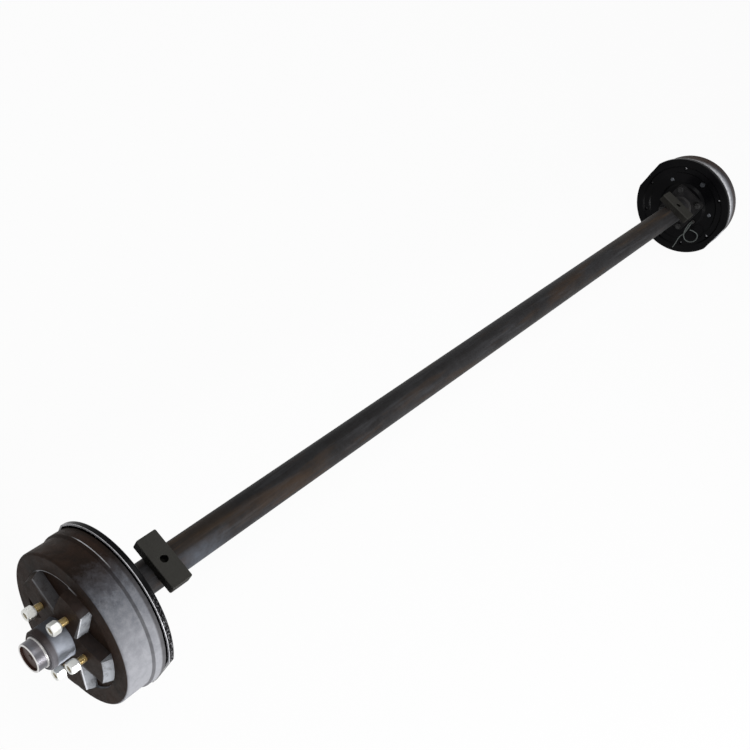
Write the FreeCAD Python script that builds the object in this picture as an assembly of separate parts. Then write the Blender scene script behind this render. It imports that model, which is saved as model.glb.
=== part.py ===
import FreeCAD, Part
import math
import os

# Trailer axle, round tube with spring seats on top and a braked hub on each end.
# The frame's origin is the middle of the axle on its own centre line.
# +Y runs along the axle to its left end, +Z is up out of the spring seats and +X is forward.
# Each end is built on its own station: depth is counted inboard from the drum's rim face.

# Whole axle
seat_centres = 2004.0
seat_to_rim_face = 176.0
tube_diameter = 60.3
tube_wall = 5.0

# Wheel studs and nuts
stud_count = 5
stud_circle = 114.3
stud_diameter = 12.7
stud_end = -42.5
stud_head_diameter = 18.0
stud_head_height = 3.0
stud_chamfer = 1.2
stud_first_angle = 23.5
nut_across_flats = 19.5
nut_inner_end = -28.5
nut_length = 17.5
nut_seat_length = 4.0
nut_mouth_step = 0.7
nut_bore_chamfer = 1.2
nut_face_chamfer = 0.6
nut_corner_chamfer = 2.4
nut_turns = (12.0, 47.0, 30.0, 5.0, 22.0)

# Hub and drum casting
drum_bore = 254.0
drum_wall = 12.1
drum_open_end = 71.0
drum_edge_round = 4.0
drum_corner_round = 3.0
barrel_root_round = 4.0
lip_band_rise = 3.5
lip_band_start = 47.0
lip_band_slope = 4.0
web_depth = 11.0
armature_margin = 27.0
armature_head_gap = 1.85
armature_step = 4.0
pocket_depth = 5.0
pocket_draft = 1.0
face_rim_width = 31.1
flange_height = 16.0
arm_cone_step = 7.0
arm_half_width = 24.0
arm_valley_radius = 50.0
arm_draft = 2.5
barrel_diameter = 69.2
barrel_end = -57.0
barrel_chamfer = 2.0
inner_barrel_diameter = 83.0
inner_barrel_end = 57.0
hub_cavity_radius = 21.5
hub_cavity_taper = 8.0
cup_shoulder = 3.5

# Bearings, seal and what holds the hub on
inner_bore = 34.98
inner_cup_diameter = 59.14
inner_bearing_back = 47.0
inner_bearing_width = 15.9
outer_bore = 26.98
outer_cup_diameter = 50.3
outer_bearing_back = -46.3
outer_bearing_width = 14.2
roller_gap = 0.15
roller_end_gap = 0.3
cone_rib_share = 0.16
cone_rib_height_share = 0.70
cone_race_shares = (0.50, 0.30)
cone_small_rib = 0.8
cup_face_share = 0.24
cup_race_shares = (0.18, 0.42)
seal_journal = 43.66
seal_diameter = 65.1
seal_width = 8.0
seal_lip_gap = 0.05
seal_lip_rise = 3.0
seal_lip_front = 2.5
seal_lip_land = 1.5
seal_lip_rear = 2.0
seal_face_thickness = 5.5
seal_case_wall = 2.0
seal_journal_run = 3.0
journal_lead = 1.0
journal_chamfer = 0.5
washer_thickness = 3.0
washer_diameter = 39.0
spindle_thread = 25.4
spindle_thread_chamfer = 1.5
spindle_end = -64.0
castle_across_flats = 36.5
castle_height = 11.8
castle_slot_depth = 5.0
castle_slot_width = 4.2
castle_face_chamfer = 0.5
castle_corner_chamfer = 1.6
cotter_diameter = 3.2
cotter_head_diameter = 6.4
cotter_head_length = 2.56
cotter_leg_diameter = 2.24
cotter_leg_length = 6.0
grease_way = 5.0

# Grease cap and its plug
cap_diameter = 50.9
cap_wall = 1.6
cap_bead_diameter = 54.6
cap_bead_width = 2.4
cap_bead_chamfer = 0.6
cap_corner = 1.0
cap_lip_chamfer = 0.8
cap_sleeve_length = 7.5
cap_end = -76.0
cap_recess = 7.0
cap_mouth_diameter = 43.4
plug_hole_diameter = 35.0
plug_front_thickness = 2.6
plug_back_thickness = 1.7
plug_tab_diameter = 8.0
plug_tab_height = 1.6
plug_tab_draft = 0.6
plug_gap = 0.4
plug_corner = 1.0
plug_barb = 1.6

# Spindle, tube end and brake flange
tube_end = 80.0
spindle_collar = 70.0
spindle_plug_end = 150.0
flange_face = 84.0
flange_thickness = 8.0
flange_bolt_x = 36.0
flange_bolt_z = 46.0
flange_corner = 13.0
flange_weld = 5.5
flange_weld_throat = 2.2
flange_bolt_diameter = 10.0
flange_bolt_head = 4.0
flange_bolt_head_diameter = 17.0
flange_nut_across_flats = 16.0
flange_nut_height = 9.0
flange_nut_corner_chamfer = 1.6
flange_nut_face_chamfer = 0.4
flange_nut_turn = 17.0
bolt_tail = 3.0

# Backing plate
plate_overhang = 9.4
plate_flat_step = 8.0
plate_sheet = 3.0
plate_rim_edge = 72.6
plate_rim_face = 83.6
plate_rim_round = 3.0
plate_rim_width = 13.5
plate_disc_face = 79.6
plate_ring_margin = 40.5
plate_centre_step = 7.0
plate_ring_face = 77.0
plate_centre_margin = 8.6
plate_slope = 4.0
plate_rim_lap = 1.0
plate_hole_gap = 0.6
pad_angles = (54.0, 126.0, -7.0, 187.0, -50.0, 230.0)
pad_diameter = 15.0
pad_draft = 1.5
dimple_floor = 2.4
dimple_inset = 2.0
dimple_draft = 2.0
slot_length = 24.0
slot_width = 10.0
slot_drop = 13.5
slot_cover_lip = 2.5
slot_cover_height = 1.8
slot_cover_tail = 1.5

# Spring seats
seat_length = 42.0
seat_width = 101.0
seat_top = 48.5
seat_thickness = 20.0
seat_hole_diameter = 15.0
seat_hole_depth = 16.0
seat_corner = 3.0
seat_edge_chamfer = 0.8
seat_weld = 6.5
seat_weld_out = 2.0
seat_weld_drop = 1.0
seat_weld_inset = 1.0

# Brake: anchor post, shoes, lever, magnet and adjuster
anchor_inset = 31.0
anchor_diameter = 18.0
anchor_chamfer = 1.0
anchor_base_diameter = 26.0
anchor_step = 56.0
anchor_end = 26.0
anchor_tail_diameter = 13.0
anchor_tail_lip = 1.4
anchor_tail_length = 3.0
ring_thickness = 1.6
ring_diameter = 25.0
shoe_width = 57.0
shoe_start = 14.3
shoe_table = 2.5
shoe_web = 4.5
shoe_web_width = 38.8
shoe_angle = 52.0
toe_seat_angles = (40.0, 20.0, 0.0, -20.0, -40.0)
web_inner_angles = (48.0, 30.0, 10.0, -10.0, -30.0, -46.0)
web_table_steps = 12
web_table_lap = 0.5
toe_height = 17.0
toe_reach = 26.0
throat_step = 3.0
throat_drop = 12.0
throat_reach = 34.0
heel_rise = 26.0
heel_reach = 44.0
heel_half = 7.0
heel_foot = 28.0
heel_height = 12.0
lining_gap = 0.5
lining_thickness = 5.2
primary_lining_angle = 40.0
secondary_lining_angle = 49.0
running_gap = 0.3
shoe_pivot_x = 20.3
adjuster_inset = 27.0
lever_thickness = 5.0
lever_back = 35.5
lever_half_width = 11.0
lever_eye_wall = 7.0
lever_pivot_gap = 0.08
lever_lug_height = 5.5
lever_bow_gap = 6.0
lever_bow_step = 4.0
lever_bow_angles = (145.0, 192.0)
magnet_angle = -124.0
magnet_length = 62.0
magnet_width = 40.0
magnet_stub_diameter = 16.0
magnet_stub_reach = 2.0
hold_inset = 8.0
hold_angle = 27.0
hold_pin_diameter = 4.0
hold_pin_tip = 1.5
hold_pin_gap = 0.1
hold_web_gap = 1.5
hold_head_diameter = 12.0
hold_crown_diameter = 8.0
hold_head_height = 2.0
hold_cup_diameter = 13.0
hold_cup_face = 33.0
hold_cup_wall = 1.2
hold_spring_inset = 1.0
hold_spring_wire = 1.6
spring_wire = 2.4
return_spring_diameter = 9.0
return_spring_depth = 50.0
return_spring_layer_gap = 0.4
return_spring_loop_gap = 0.3
return_coil_start = 0.12
return_coil_share = 0.7
return_spring_hook_inset = 9.5
return_spring_hook_angle = 55.4
adjuster_spring_diameter = 6.4
adjuster_spring_depth = 51.0
adjuster_spring_rise = 17.5
adjuster_spring_hook_x = 40.0
adjuster_coil_share = 0.7
hook_hole_diameter = 7.0
hook_pinch = 0.58
hook_slack = 0.9
hook_reach = 2.0
socket_diameter = 16.0
socket_end = 26.0
socket_slot = 5.0
socket_floor = 3.0
socket_star_gap = 2.0
rear_socket_start = 3.0
star_diameter = 28.0
star_teeth = 14
star_tooth_depth = 2.6
star_start = 2.0
star_width = 5.0
star_tooth_shares = (0.0, 0.25, 0.55, 0.8)
screw_diameter = 10.0
screw_gap = 0.08
screw_end_gap = 1.0

# Lead wires of the magnet, where they leave the left backing plate
lead_diameter = 3.2
grommet_x = 57.5
grommet_z = -8.0
grommet_diameter = 13.0
grommet_hole = 9.0
grommet_height = 6.0
grommet_flange = 2.0
grommet_draft = 1.5
lead_spacing = 4.2
lead_arc_share = 0.45

# How far a cutting shape runs past what it cuts, and how far fused pieces lap
cut_past = 1.0
lap = 1.0

V = FreeCAD.Vector
axle_line = V(0, 1, 0)
centre = V(0, 0, 0)
rim_face = -(seat_centres / 2 + seat_to_rim_face)
tube_radius = tube_diameter / 2
tube_bore_radius = tube_radius - tube_wall
web_middle = shoe_start + shoe_width / 2
web_low = web_middle - shoe_web / 2
web_high = web_middle + shoe_web / 2
lining_radius = drum_bore / 2 - lining_gap
table_outer = lining_radius - lining_thickness
table_inner = table_outer - shoe_table
drum_diameter = drum_bore + 2 * drum_wall
pocket_diameter = drum_diameter - 2 * face_rim_width
armature_outer = drum_bore - 2 * armature_margin
armature_inner = stud_circle + stud_head_diameter + 2 * armature_head_gap
plate_diameter = drum_diameter + 2 * plate_overhang
plate_across_flats = plate_diameter - 2 * plate_flat_step
plate_centre_radius = math.hypot(flange_bolt_x, flange_bolt_z) + plate_centre_margin
anchor_height = drum_bore / 2 - anchor_inset
adjuster_height = adjuster_inset - drum_bore / 2
adjuster_spring_z = adjuster_height + adjuster_spring_rise
slot_height = adjuster_height - slot_drop
toe_top = anchor_height + toe_height
shoe_web_inner = table_inner - shoe_web_width
pole = 2 * plate_diameter


def at_angle(radius, degrees, depth=0.0):
    turn = math.radians(degrees)
    return V(radius * math.cos(turn), depth, radius * math.sin(turn))


def turned(points):
    # A piece turned about the axle's line from its half section, as (radius, depth) corners.
    corners = [V(radius, depth, 0) for radius, depth in points]
    section = Part.Face(Part.makePolygon(corners + [corners[0]]))
    return section.revolve(centre, axle_line, 360)


def rod(radius, low, high, x=0.0, z=0.0):
    # A round bar along the axle's line, from one depth to another.
    return Part.makeCylinder(radius, high - low, V(x, low, z), axle_line)


def cross_rod(radius, low, high, depth, z):
    # A round bar along X.
    return Part.makeCylinder(radius, high - low, V(low, depth, z), V(1, 0, 0))


def block(low, high):
    size = high - low
    return Part.makeBox(size.x, size.y, size.z, low)


def plate_from(corners, low, high):
    # A flat plate of any outline, as (x, z) corners, between two depths.
    wire = Part.makePolygon([V(x, low, z) for x, z in corners + [corners[0]]])
    return Part.Face(wire).extrude(V(0, high - low, 0))


def hexagon(across_flats, low, high, turn=0.0):
    reach = across_flats / math.sqrt(3)
    spots = [at_angle(reach, turn + 60 * side) for side in range(6)]
    return plate_from([(spot.x, spot.z) for spot in spots], low, high)


def rounded(solid, size, rings):
    # Rounds the circular edges at the given (radius, depth) places.
    edges = []
    for edge in solid.Edges:
        curve = edge.Curve
        if not isinstance(curve, Part.Circle):
            continue
        for radius, depth in rings:
            if abs(curve.Radius - radius) < 0.01 and abs(curve.Center.y - depth) < 0.01:
                edges.append(edge)
    return solid.makeFillet(size, edges)


def fused(pieces):
    whole = pieces[0].multiFuse(pieces[1:]) if len(pieces) > 1 else pieces[0]
    return whole.removeSplitter()


def arc_band(inner, outer, half_angle, low, high):
    # A curved band about the axle's line, half_angle degrees above and below the front.
    start = at_angle(inner, -half_angle, low)
    section = Part.makePolygon([
        start,
        at_angle(outer, -half_angle, low),
        at_angle(outer, -half_angle, high),
        at_angle(inner, -half_angle, high),
        start,
    ])
    return Part.Face(section).revolve(centre, axle_line, -2 * half_angle)


def stud_angles():
    return [stud_first_angle + 360.0 / stud_count * step for step in range(stud_count)]


def star_outline(half_width, valley, reach):
    # The five-armed flange's outline: two corners at each arm's tip and one in each valley.
    corners = []
    half_pitch = 180.0 / stud_count
    for angle in stud_angles():
        for side in (-1, 1):
            along = at_angle(reach, angle)
            across = at_angle(side * half_width, angle + 90)
            corners.append(along + across)
        corners.append(at_angle(valley, angle + half_pitch))
    return corners


def star_flange():
    # Drafted arms whose tips are turned off on a cone.
    reach = pocket_diameter / 2 + arm_draft
    low = star_outline(arm_half_width + arm_draft, arm_valley_radius + arm_draft, reach)
    high = star_outline(arm_half_width, arm_valley_radius, reach)
    wires = []
    for corners, depth in ((high, -flange_height), (low, pocket_depth)):
        places = [V(corner.x, depth, corner.z) for corner in corners]
        wires.append(Part.makePolygon(places + [places[0]]))
    arms = Part.makeLoft(wires, True, True)
    cone = turned([
        (0, -flange_height),
        (pocket_diameter / 2 - arm_cone_step, -flange_height),
        (pocket_diameter / 2, 0),
        (pocket_diameter / 2 + arm_draft, 0),
        (pocket_diameter / 2 + arm_draft, pocket_depth),
        (0, pocket_depth),
    ])
    return arms.common(cone)


def hub_drum():
    drum_radius = drum_diameter / 2
    lip_radius = drum_radius + lip_band_rise
    barrel_radius = barrel_diameter / 2
    inner_barrel = inner_barrel_diameter / 2
    seal_face = inner_barrel_end - seal_width
    inner_cup = inner_cup_diameter / 2
    outer_cup = outer_cup_diameter / 2
    inner_shoulder = inner_bearing_back - inner_bearing_width
    outer_shoulder = outer_bearing_back + outer_bearing_width
    bore_radius = drum_bore / 2
    body = turned([
        (outer_cup, barrel_end),
        (barrel_radius - barrel_chamfer, barrel_end),
        (barrel_radius, barrel_end + barrel_chamfer),
        (barrel_radius, pocket_depth),
        (pocket_diameter / 2 - pocket_draft, pocket_depth),
        (pocket_diameter / 2, 0),
        (drum_radius, 0),
        (drum_radius, lip_band_start),
        (lip_radius, lip_band_start + lip_band_slope),
        (lip_radius, drum_open_end),
        (bore_radius, drum_open_end),
        (bore_radius, web_depth),
        (armature_outer / 2, web_depth),
        (armature_outer / 2, web_depth + armature_step),
        (armature_inner / 2, web_depth + armature_step),
        (armature_inner / 2, web_depth),
        (inner_barrel, web_depth),
        (inner_barrel, inner_barrel_end),
        (seal_diameter / 2, inner_barrel_end),
        (seal_diameter / 2, seal_face),
        (inner_cup, seal_face),
        (inner_cup, inner_shoulder),
        (inner_cup - cup_shoulder, inner_shoulder),
        (hub_cavity_radius, inner_shoulder - hub_cavity_taper),
        (hub_cavity_radius, outer_shoulder),
        (outer_cup, outer_shoulder),
    ])
    body = rounded(body, drum_edge_round, [(drum_radius, 0)])
    body = rounded(body, drum_corner_round, [(bore_radius, web_depth)])
    body = rounded(body, barrel_root_round, [(inner_barrel, web_depth)])
    bore = rod(barrel_radius - lap, -flange_height - cut_past, web_depth)
    casting = fused([body, star_flange().cut(bore)])
    for angle in stud_angles():
        spot = at_angle(stud_circle / 2, angle)
        hole = rod(stud_diameter / 2, -flange_height - cut_past, web_depth + cut_past, spot.x, spot.z)
        casting = casting.cut(hole)
    return casting


def wheel_studs():
    studs = []
    radius = stud_diameter / 2
    for angle in stud_angles():
        stud = turned([
            (0, stud_end),
            (radius - stud_chamfer, stud_end),
            (radius, stud_end + stud_chamfer),
            (radius, web_depth),
            (stud_head_diameter / 2, web_depth),
            (stud_head_diameter / 2, web_depth + stud_head_height),
            (0, web_depth + stud_head_height),
        ])
        stud.translate(at_angle(stud_circle / 2, angle))
        studs.append(stud)
    return studs


def wheel_nuts():
    nuts = []
    corner = nut_across_flats / math.sqrt(3)
    flat = nut_across_flats / 2
    bore = stud_diameter / 2
    mouth = bore - nut_mouth_step
    outer_end = nut_inner_end - nut_length
    bore_end = stud_end - running_gap
    for angle, turn in zip(stud_angles(), nut_turns):
        hexagonal = hexagon(nut_across_flats, outer_end, nut_inner_end, turn)
        envelope = turned([
            (mouth + nut_bore_chamfer, outer_end),
            (flat - nut_face_chamfer, outer_end),
            (corner, outer_end + nut_corner_chamfer),
            (corner, nut_inner_end - nut_seat_length),
            (bore + nut_bore_chamfer, nut_inner_end),
            (bore, nut_inner_end - nut_bore_chamfer),
            (bore, bore_end),
            (mouth, bore_end),
            (mouth, outer_end + nut_bore_chamfer),
        ])
        nut = hexagonal.common(envelope)
        nut.translate(at_angle(stud_circle / 2, angle))
        nuts.append(nut)
    return nuts


def grease_cap():
    outer = cap_diameter / 2
    sleeve = outer_cup_diameter / 2
    mouth = cap_mouth_diameter / 2
    bead_end = barrel_end - cap_bead_width
    recess_floor = cap_end + cap_recess
    return turned([
        (sleeve - cap_wall, barrel_end + cap_sleeve_length),
        (sleeve, barrel_end + cap_sleeve_length),
        (sleeve, barrel_end),
        (cap_bead_diameter / 2, barrel_end),
        (cap_bead_diameter / 2, bead_end + cap_bead_chamfer),
        (cap_bead_diameter / 2 - cap_bead_chamfer, bead_end),
        (outer, bead_end),
        (outer, cap_end + cap_corner),
        (outer - cap_corner, cap_end),
        (mouth + cap_lip_chamfer, cap_end),
        (mouth, cap_end + cap_lip_chamfer),
        (mouth, recess_floor),
        (plug_hole_diameter / 2, recess_floor),
        (plug_hole_diameter / 2, recess_floor + cap_wall),
        (outer - cap_wall, recess_floor + cap_wall),
        (outer - cap_wall, bead_end),
        (sleeve - cap_wall, barrel_end),
    ])


def cap_plug():
    face = cap_end + cap_recess
    neck = plug_hole_diameter / 2
    rim = cap_mouth_diameter / 2 - plug_gap
    front = face - plug_front_thickness
    back = face + cap_wall
    return turned([
        (0, front - plug_tab_height),
        (plug_tab_diameter / 2, front - plug_tab_height),
        (plug_tab_diameter / 2 + plug_tab_draft, front),
        (rim - plug_corner, front),
        (rim, front + plug_corner),
        (rim, face),
        (neck, face),
        (neck, back),
        (neck + plug_barb, back),
        (neck, back + plug_back_thickness),
        (0, back + plug_back_thickness),
    ])


def taper_bearing(bore, cup_diameter, back, width, way):
    # A taper roller bearing as cone, roller set in its cage, and cup.
    # Widths are counted from the cone's back face towards its small end.
    inner = bore / 2
    outer = cup_diameter / 2
    span = outer - inner
    rib = cone_rib_share * width
    rib_radius = inner + cone_rib_height_share * span
    cup_start = cup_face_share * width
    race_big, race_small = [inner + share * span for share in cone_race_shares]
    cup_big, cup_small = [outer - share * span for share in cup_race_shares]

    def ring(points):
        return turned([(radius, back - way * step) for radius, step in points])

    def race(step):
        return race_big + (race_small - race_big) * (step - rib) / (width - 2 * rib)

    def cup_race(step):
        return cup_big + (cup_small - cup_big) * (step - cup_start) / (width - cup_start)

    cone = ring([
        (inner, 0),
        (rib_radius, 0),
        (rib_radius, rib),
        (race_big, rib),
        (race_small, width - rib),
        (race_small + cone_small_rib, width - rib),
        (race_small + cone_small_rib, width),
        (inner, width),
    ])
    first = rib + roller_end_gap
    last = width - rib - roller_end_gap
    rollers = ring([
        (race(first), first),
        (cup_race(first) - roller_gap, first),
        (cup_race(last) - roller_gap, last),
        (race(last), last),
    ])
    cup = ring([
        (outer, cup_start),
        (cup_big, cup_start),
        (cup_small, width),
        (outer, width),
    ])
    return cone, rollers, cup


def inner_bearing():
    return taper_bearing(inner_bore, inner_cup_diameter, inner_bearing_back, inner_bearing_width, 1)


def outer_bearing():
    return taper_bearing(outer_bore, outer_cup_diameter, outer_bearing_back, outer_bearing_width, -1)


def bearing_cones():
    return [inner_bearing()[0], outer_bearing()[0]]


def bearing_rollers():
    return [inner_bearing()[1], outer_bearing()[1]]


def bearing_cups():
    return [inner_bearing()[2], outer_bearing()[2]]


def grease_seal():
    outer = seal_diameter / 2
    lip = seal_journal / 2 + seal_lip_gap
    low = inner_barrel_end - seal_width
    high = inner_barrel_end
    return turned([
        (outer, low),
        (outer, high),
        (lip + seal_lip_rise, high),
        (lip, high - seal_lip_front),
        (lip, high - seal_lip_front - seal_lip_land),
        (lip + seal_lip_rear, high - seal_face_thickness),
        (outer - seal_case_wall, high - seal_face_thickness),
        (outer - seal_case_wall, low),
    ])


def spindle():
    thread = spindle_thread / 2
    outer = outer_bore / 2
    inner = inner_bore / 2
    journal = seal_journal / 2
    way = grease_way / 2
    plug = tube_bore_radius
    outer_run = outer_bearing_back + outer_bearing_width
    inner_run = inner_bearing_back - inner_bearing_width - journal_lead
    body = turned([
        (way, spindle_end),
        (thread - spindle_thread_chamfer, spindle_end),
        (thread, spindle_end + spindle_thread_chamfer),
        (thread, outer_bearing_back),
        (outer, outer_bearing_back),
        (outer, outer_run + journal_lead),
        (inner - journal_chamfer, inner_run - journal_lead),
        (inner, inner_run),
        (inner, inner_bearing_back),
        (journal, inner_bearing_back),
        (journal, inner_barrel_end + seal_journal_run),
        (tube_radius, spindle_collar),
        (tube_radius, tube_end),
        (plug, tube_end),
        (plug, spindle_plug_end),
        (0, spindle_plug_end),
        (0, outer_run),
        (way, outer_run),
    ])
    hole = Part.makeCylinder(cotter_diameter / 2, 4 * thread, V(0, cotter_depth(), -2 * thread))
    return body.cut(hole)


def cotter_depth():
    slot_floor = castle_face() + castle_slot_depth
    return slot_floor - cotter_diameter / 2


def castle_face():
    return outer_bearing_back - washer_thickness - castle_height


def thrust_washer():
    low = outer_bearing_back - washer_thickness
    return rod(washer_diameter / 2, low, outer_bearing_back).cut(
        rod(spindle_thread / 2, low - cut_past, outer_bearing_back + cut_past))


def spindle_nut():
    low = castle_face()
    high = outer_bearing_back - washer_thickness
    reach = castle_across_flats / math.sqrt(3)
    flat = castle_across_flats / 2
    envelope = turned([
        (spindle_thread / 2, low),
        (flat - castle_face_chamfer, low),
        (reach, low + castle_corner_chamfer),
        (reach, high),
        (spindle_thread / 2, high),
    ])
    nut = hexagon(castle_across_flats, low, high).common(envelope)
    for turn in (0, 60, 120):
        half = castle_slot_width / 2
        slot = block(V(-reach, low - cut_past, -half), V(reach, low + castle_slot_depth, half))
        slot.rotate(centre, axle_line, turn + 30)
        nut = nut.cut(slot)
    return nut


def cotter_pin():
    depth = cotter_depth()
    radius = cotter_diameter / 2
    reach = castle_across_flats / 2 + cotter_diameter
    stem = Part.makeCylinder(radius, 2 * reach, V(0, depth, -reach))
    head = Part.makeCylinder(cotter_head_diameter / 2, cotter_head_length, V(0, depth, reach - radius))
    leg_top = V(0, depth, radius - reach)
    leg = Part.makeCylinder(cotter_leg_diameter / 2, cotter_leg_length, leg_top, V(0, -1, 0))
    return fused([stem, head, leg])


def brake_flange():
    half_x = flange_bolt_x + flange_corner
    half_z = flange_bolt_z + flange_corner
    high = flange_face + flange_thickness
    slab = block(V(-half_x, flange_face, -half_z), V(half_x, high, half_z))
    corners = [edge for edge in slab.Edges if abs(edge.tangentAt(edge.FirstParameter).y) > 0.9]
    slab = slab.makeFillet(flange_corner, corners)
    weld = turned([
        (tube_radius - lap, high - lap),
        (tube_radius + flange_weld, high - lap),
        (tube_radius + flange_weld, high),
        (tube_radius + flange_weld_throat, high + flange_weld_throat),
        (tube_radius, high + flange_weld),
        (tube_radius - lap, high + flange_weld),
    ])
    flange = fused([slab, weld]).cut(rod(tube_radius, flange_face - cut_past, high + 2 * flange_weld))
    for x, z in flange_bolt_places():
        flange = flange.cut(rod(flange_bolt_diameter / 2, flange_face - cut_past, high + cut_past, x, z))
    return flange


def flange_bolt_places():
    return [(x, z) for x in (-flange_bolt_x, flange_bolt_x) for z in (-flange_bolt_z, flange_bolt_z)]


def flange_bolts():
    # Four bolts with their heads inside the brake, and a nut on each.
    solids = []
    head_face = flange_face - plate_sheet
    nut_low = flange_face + flange_thickness
    nut_high = nut_low + flange_nut_height
    radius = flange_bolt_diameter / 2
    for number, (x, z) in enumerate(flange_bolt_places()):
        shank = rod(radius, head_face - lap, nut_high + bolt_tail, x, z)
        head = rod(flange_bolt_head_diameter / 2, head_face - flange_bolt_head, head_face, x, z)
        solids.append(fused([shank, head]))
        reach = flange_nut_across_flats / math.sqrt(3)
        envelope = turned([
            (radius, nut_low),
            (reach, nut_low),
            (reach, nut_high - flange_nut_corner_chamfer),
            (flange_nut_across_flats / 2 - flange_nut_face_chamfer, nut_high),
            (radius, nut_high),
        ])
        nut = hexagon(flange_nut_across_flats, nut_low, nut_high, flange_nut_turn * number).common(envelope)
        nut.translate(V(x, 0, z))
        solids.append(nut)
    return solids


def plate_outline(shrink, low, high):
    # The plate's round outline with a flat in front and behind.
    disc = rod(plate_diameter / 2 - shrink, low, high)
    half = plate_across_flats / 2 - shrink
    return disc.common(block(V(-half, low, -pole), V(half, high, pole)))


def sheet_section(steps):
    # A pressed sheet's half section from its inboard face, as (radius, depth) corners.
    outer_face = [(radius, depth - plate_sheet) for radius, depth in reversed(steps)]
    return steps + outer_face


def backing_plate():
    half = plate_diameter / 2
    rim_inner = plate_across_flats / 2 - plate_rim_width
    tray = plate_outline(0, plate_rim_edge, plate_rim_face)
    far_edges = [edge for edge in tray.Edges if abs(edge.CenterOfMass.y - plate_rim_face) < 0.01]
    tray = tray.makeFillet(plate_rim_round, far_edges)
    tray = tray.cut(plate_outline(plate_sheet, plate_rim_edge - cut_past, plate_rim_face - plate_sheet))
    tray = tray.cut(rod(rim_inner, 0, pole))
    ring_outer = half - plate_ring_margin
    ring_inner = plate_centre_radius + plate_centre_step
    disc = turned(sheet_section([
        (tube_radius + plate_hole_gap, flange_face),
        (plate_centre_radius, flange_face),
        (ring_inner, plate_ring_face),
        (ring_outer - plate_slope, plate_ring_face),
        (ring_outer, plate_disc_face),
        (rim_inner - plate_slope, plate_disc_face),
        (rim_inner, plate_rim_face),
        (rim_inner + plate_rim_lap, plate_rim_face),
    ]))
    pads = []
    hollows = []
    top = shoe_start + shoe_width + running_gap
    radius = pad_diameter / 2
    hollow_radius = radius - dimple_inset
    for angle in pad_angles:
        place = at_angle(table_inner, angle, top)
        height = plate_disc_face - top
        pads.append(Part.makeCone(radius - pad_draft, radius, height, place, axle_line))
        place = at_angle(table_inner, angle, top + dimple_floor)
        height = plate_disc_face - place.y + cut_past
        hollows.append(Part.makeCone(hollow_radius - dimple_draft, hollow_radius, height, place, axle_line))
    plate = fused([tray, disc] + pads)
    holes = [rod(flange_bolt_diameter / 2, 0, pole, x, z) for x, z in flange_bolt_places()]
    holes.append(rod(anchor_tail_diameter / 2, 0, pole, 0, anchor_height))
    holes.append(rod(anchor_base_diameter / 2, 0, plate_ring_face - plate_sheet, 0, anchor_height))
    holes.append(rod(anchor_tail_diameter / 2 + anchor_tail_lip, plate_ring_face, pole, 0, anchor_height))
    holes.append(rod(grommet_hole / 2, 0, pole, grommet_x, grommet_z))
    for side in (-1, 1):
        spot = hold_place(side)
        holes.append(rod(hold_pin_diameter / 2 + hold_pin_gap, 0, pole, spot.x, spot.z))
    holes.append(slot_shape(0, 0, pole))
    for hole in hollows + holes:
        plate = plate.cut(hole)
    return plate


def slot_shape(grow, low, high):
    # The adjusting slot under the axle, long way round the plate.
    half_length = slot_length / 2 - slot_width / 2
    radius = slot_width / 2 + grow
    left = rod(radius, low, high, -half_length, slot_height)
    right = rod(radius, low, high, half_length, slot_height)
    middle = block(V(-half_length, low, slot_height - radius), V(half_length, high, slot_height + radius))
    return fused([left, right, middle])


def rubber_plugs():
    # The cover in the adjusting slot.
    inside = plate_disc_face - plate_sheet
    cover = slot_shape(slot_cover_lip, plate_disc_face, plate_disc_face + slot_cover_height)
    body = slot_shape(0, inside - slot_cover_tail, plate_disc_face)
    return [fused([cover, body]), grommet()]


def grommet():
    radius = grommet_diameter / 2
    neck = grommet_hole / 2
    inside = flange_face - plate_sheet
    body = turned([
        (0, inside - grommet_flange),
        (radius, inside - grommet_flange),
        (radius, inside),
        (neck, inside),
        (neck, flange_face),
        (radius, flange_face),
        (radius, flange_face + grommet_flange),
        (radius - grommet_draft, flange_face + grommet_height),
        (0, flange_face + grommet_height),
    ])
    body.translate(V(grommet_x, 0, grommet_z))
    return body


def spring_seat():
    middle = seat_to_rim_face
    low = middle - seat_length / 2
    high = middle + seat_length / 2
    half = seat_width / 2
    bottom = seat_top - seat_thickness
    saddle = block(V(-half, low, bottom), V(half, high, seat_top))
    uprights = [edge for edge in saddle.Edges if abs(edge.tangentAt(edge.FirstParameter).z) > 0.9]
    saddle = saddle.makeFillet(seat_corner, uprights)
    top_edges = [edge for edge in saddle.Edges if abs(edge.CenterOfMass.z - seat_top) < 0.01]
    saddle = saddle.makeChamfer(seat_edge_chamfer, top_edges)
    weld_x = math.sqrt(tube_radius ** 2 - bottom ** 2) + seat_weld_out
    weld_z = bottom - seat_weld_drop
    weld_low = low + seat_weld_inset
    weld_high = high - seat_weld_inset
    beads = [rod(seat_weld, weld_low, weld_high, side * weld_x, weld_z) for side in (-1, 1)]
    seat = fused([saddle] + beads)
    seat = seat.cut(rod(tube_radius, low - cut_past, high + cut_past))
    hole_floor = V(0, middle, seat_top - seat_hole_depth)
    hole = Part.makeCylinder(seat_hole_diameter / 2, seat_hole_depth, hole_floor)
    return seat.cut(hole)


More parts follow.
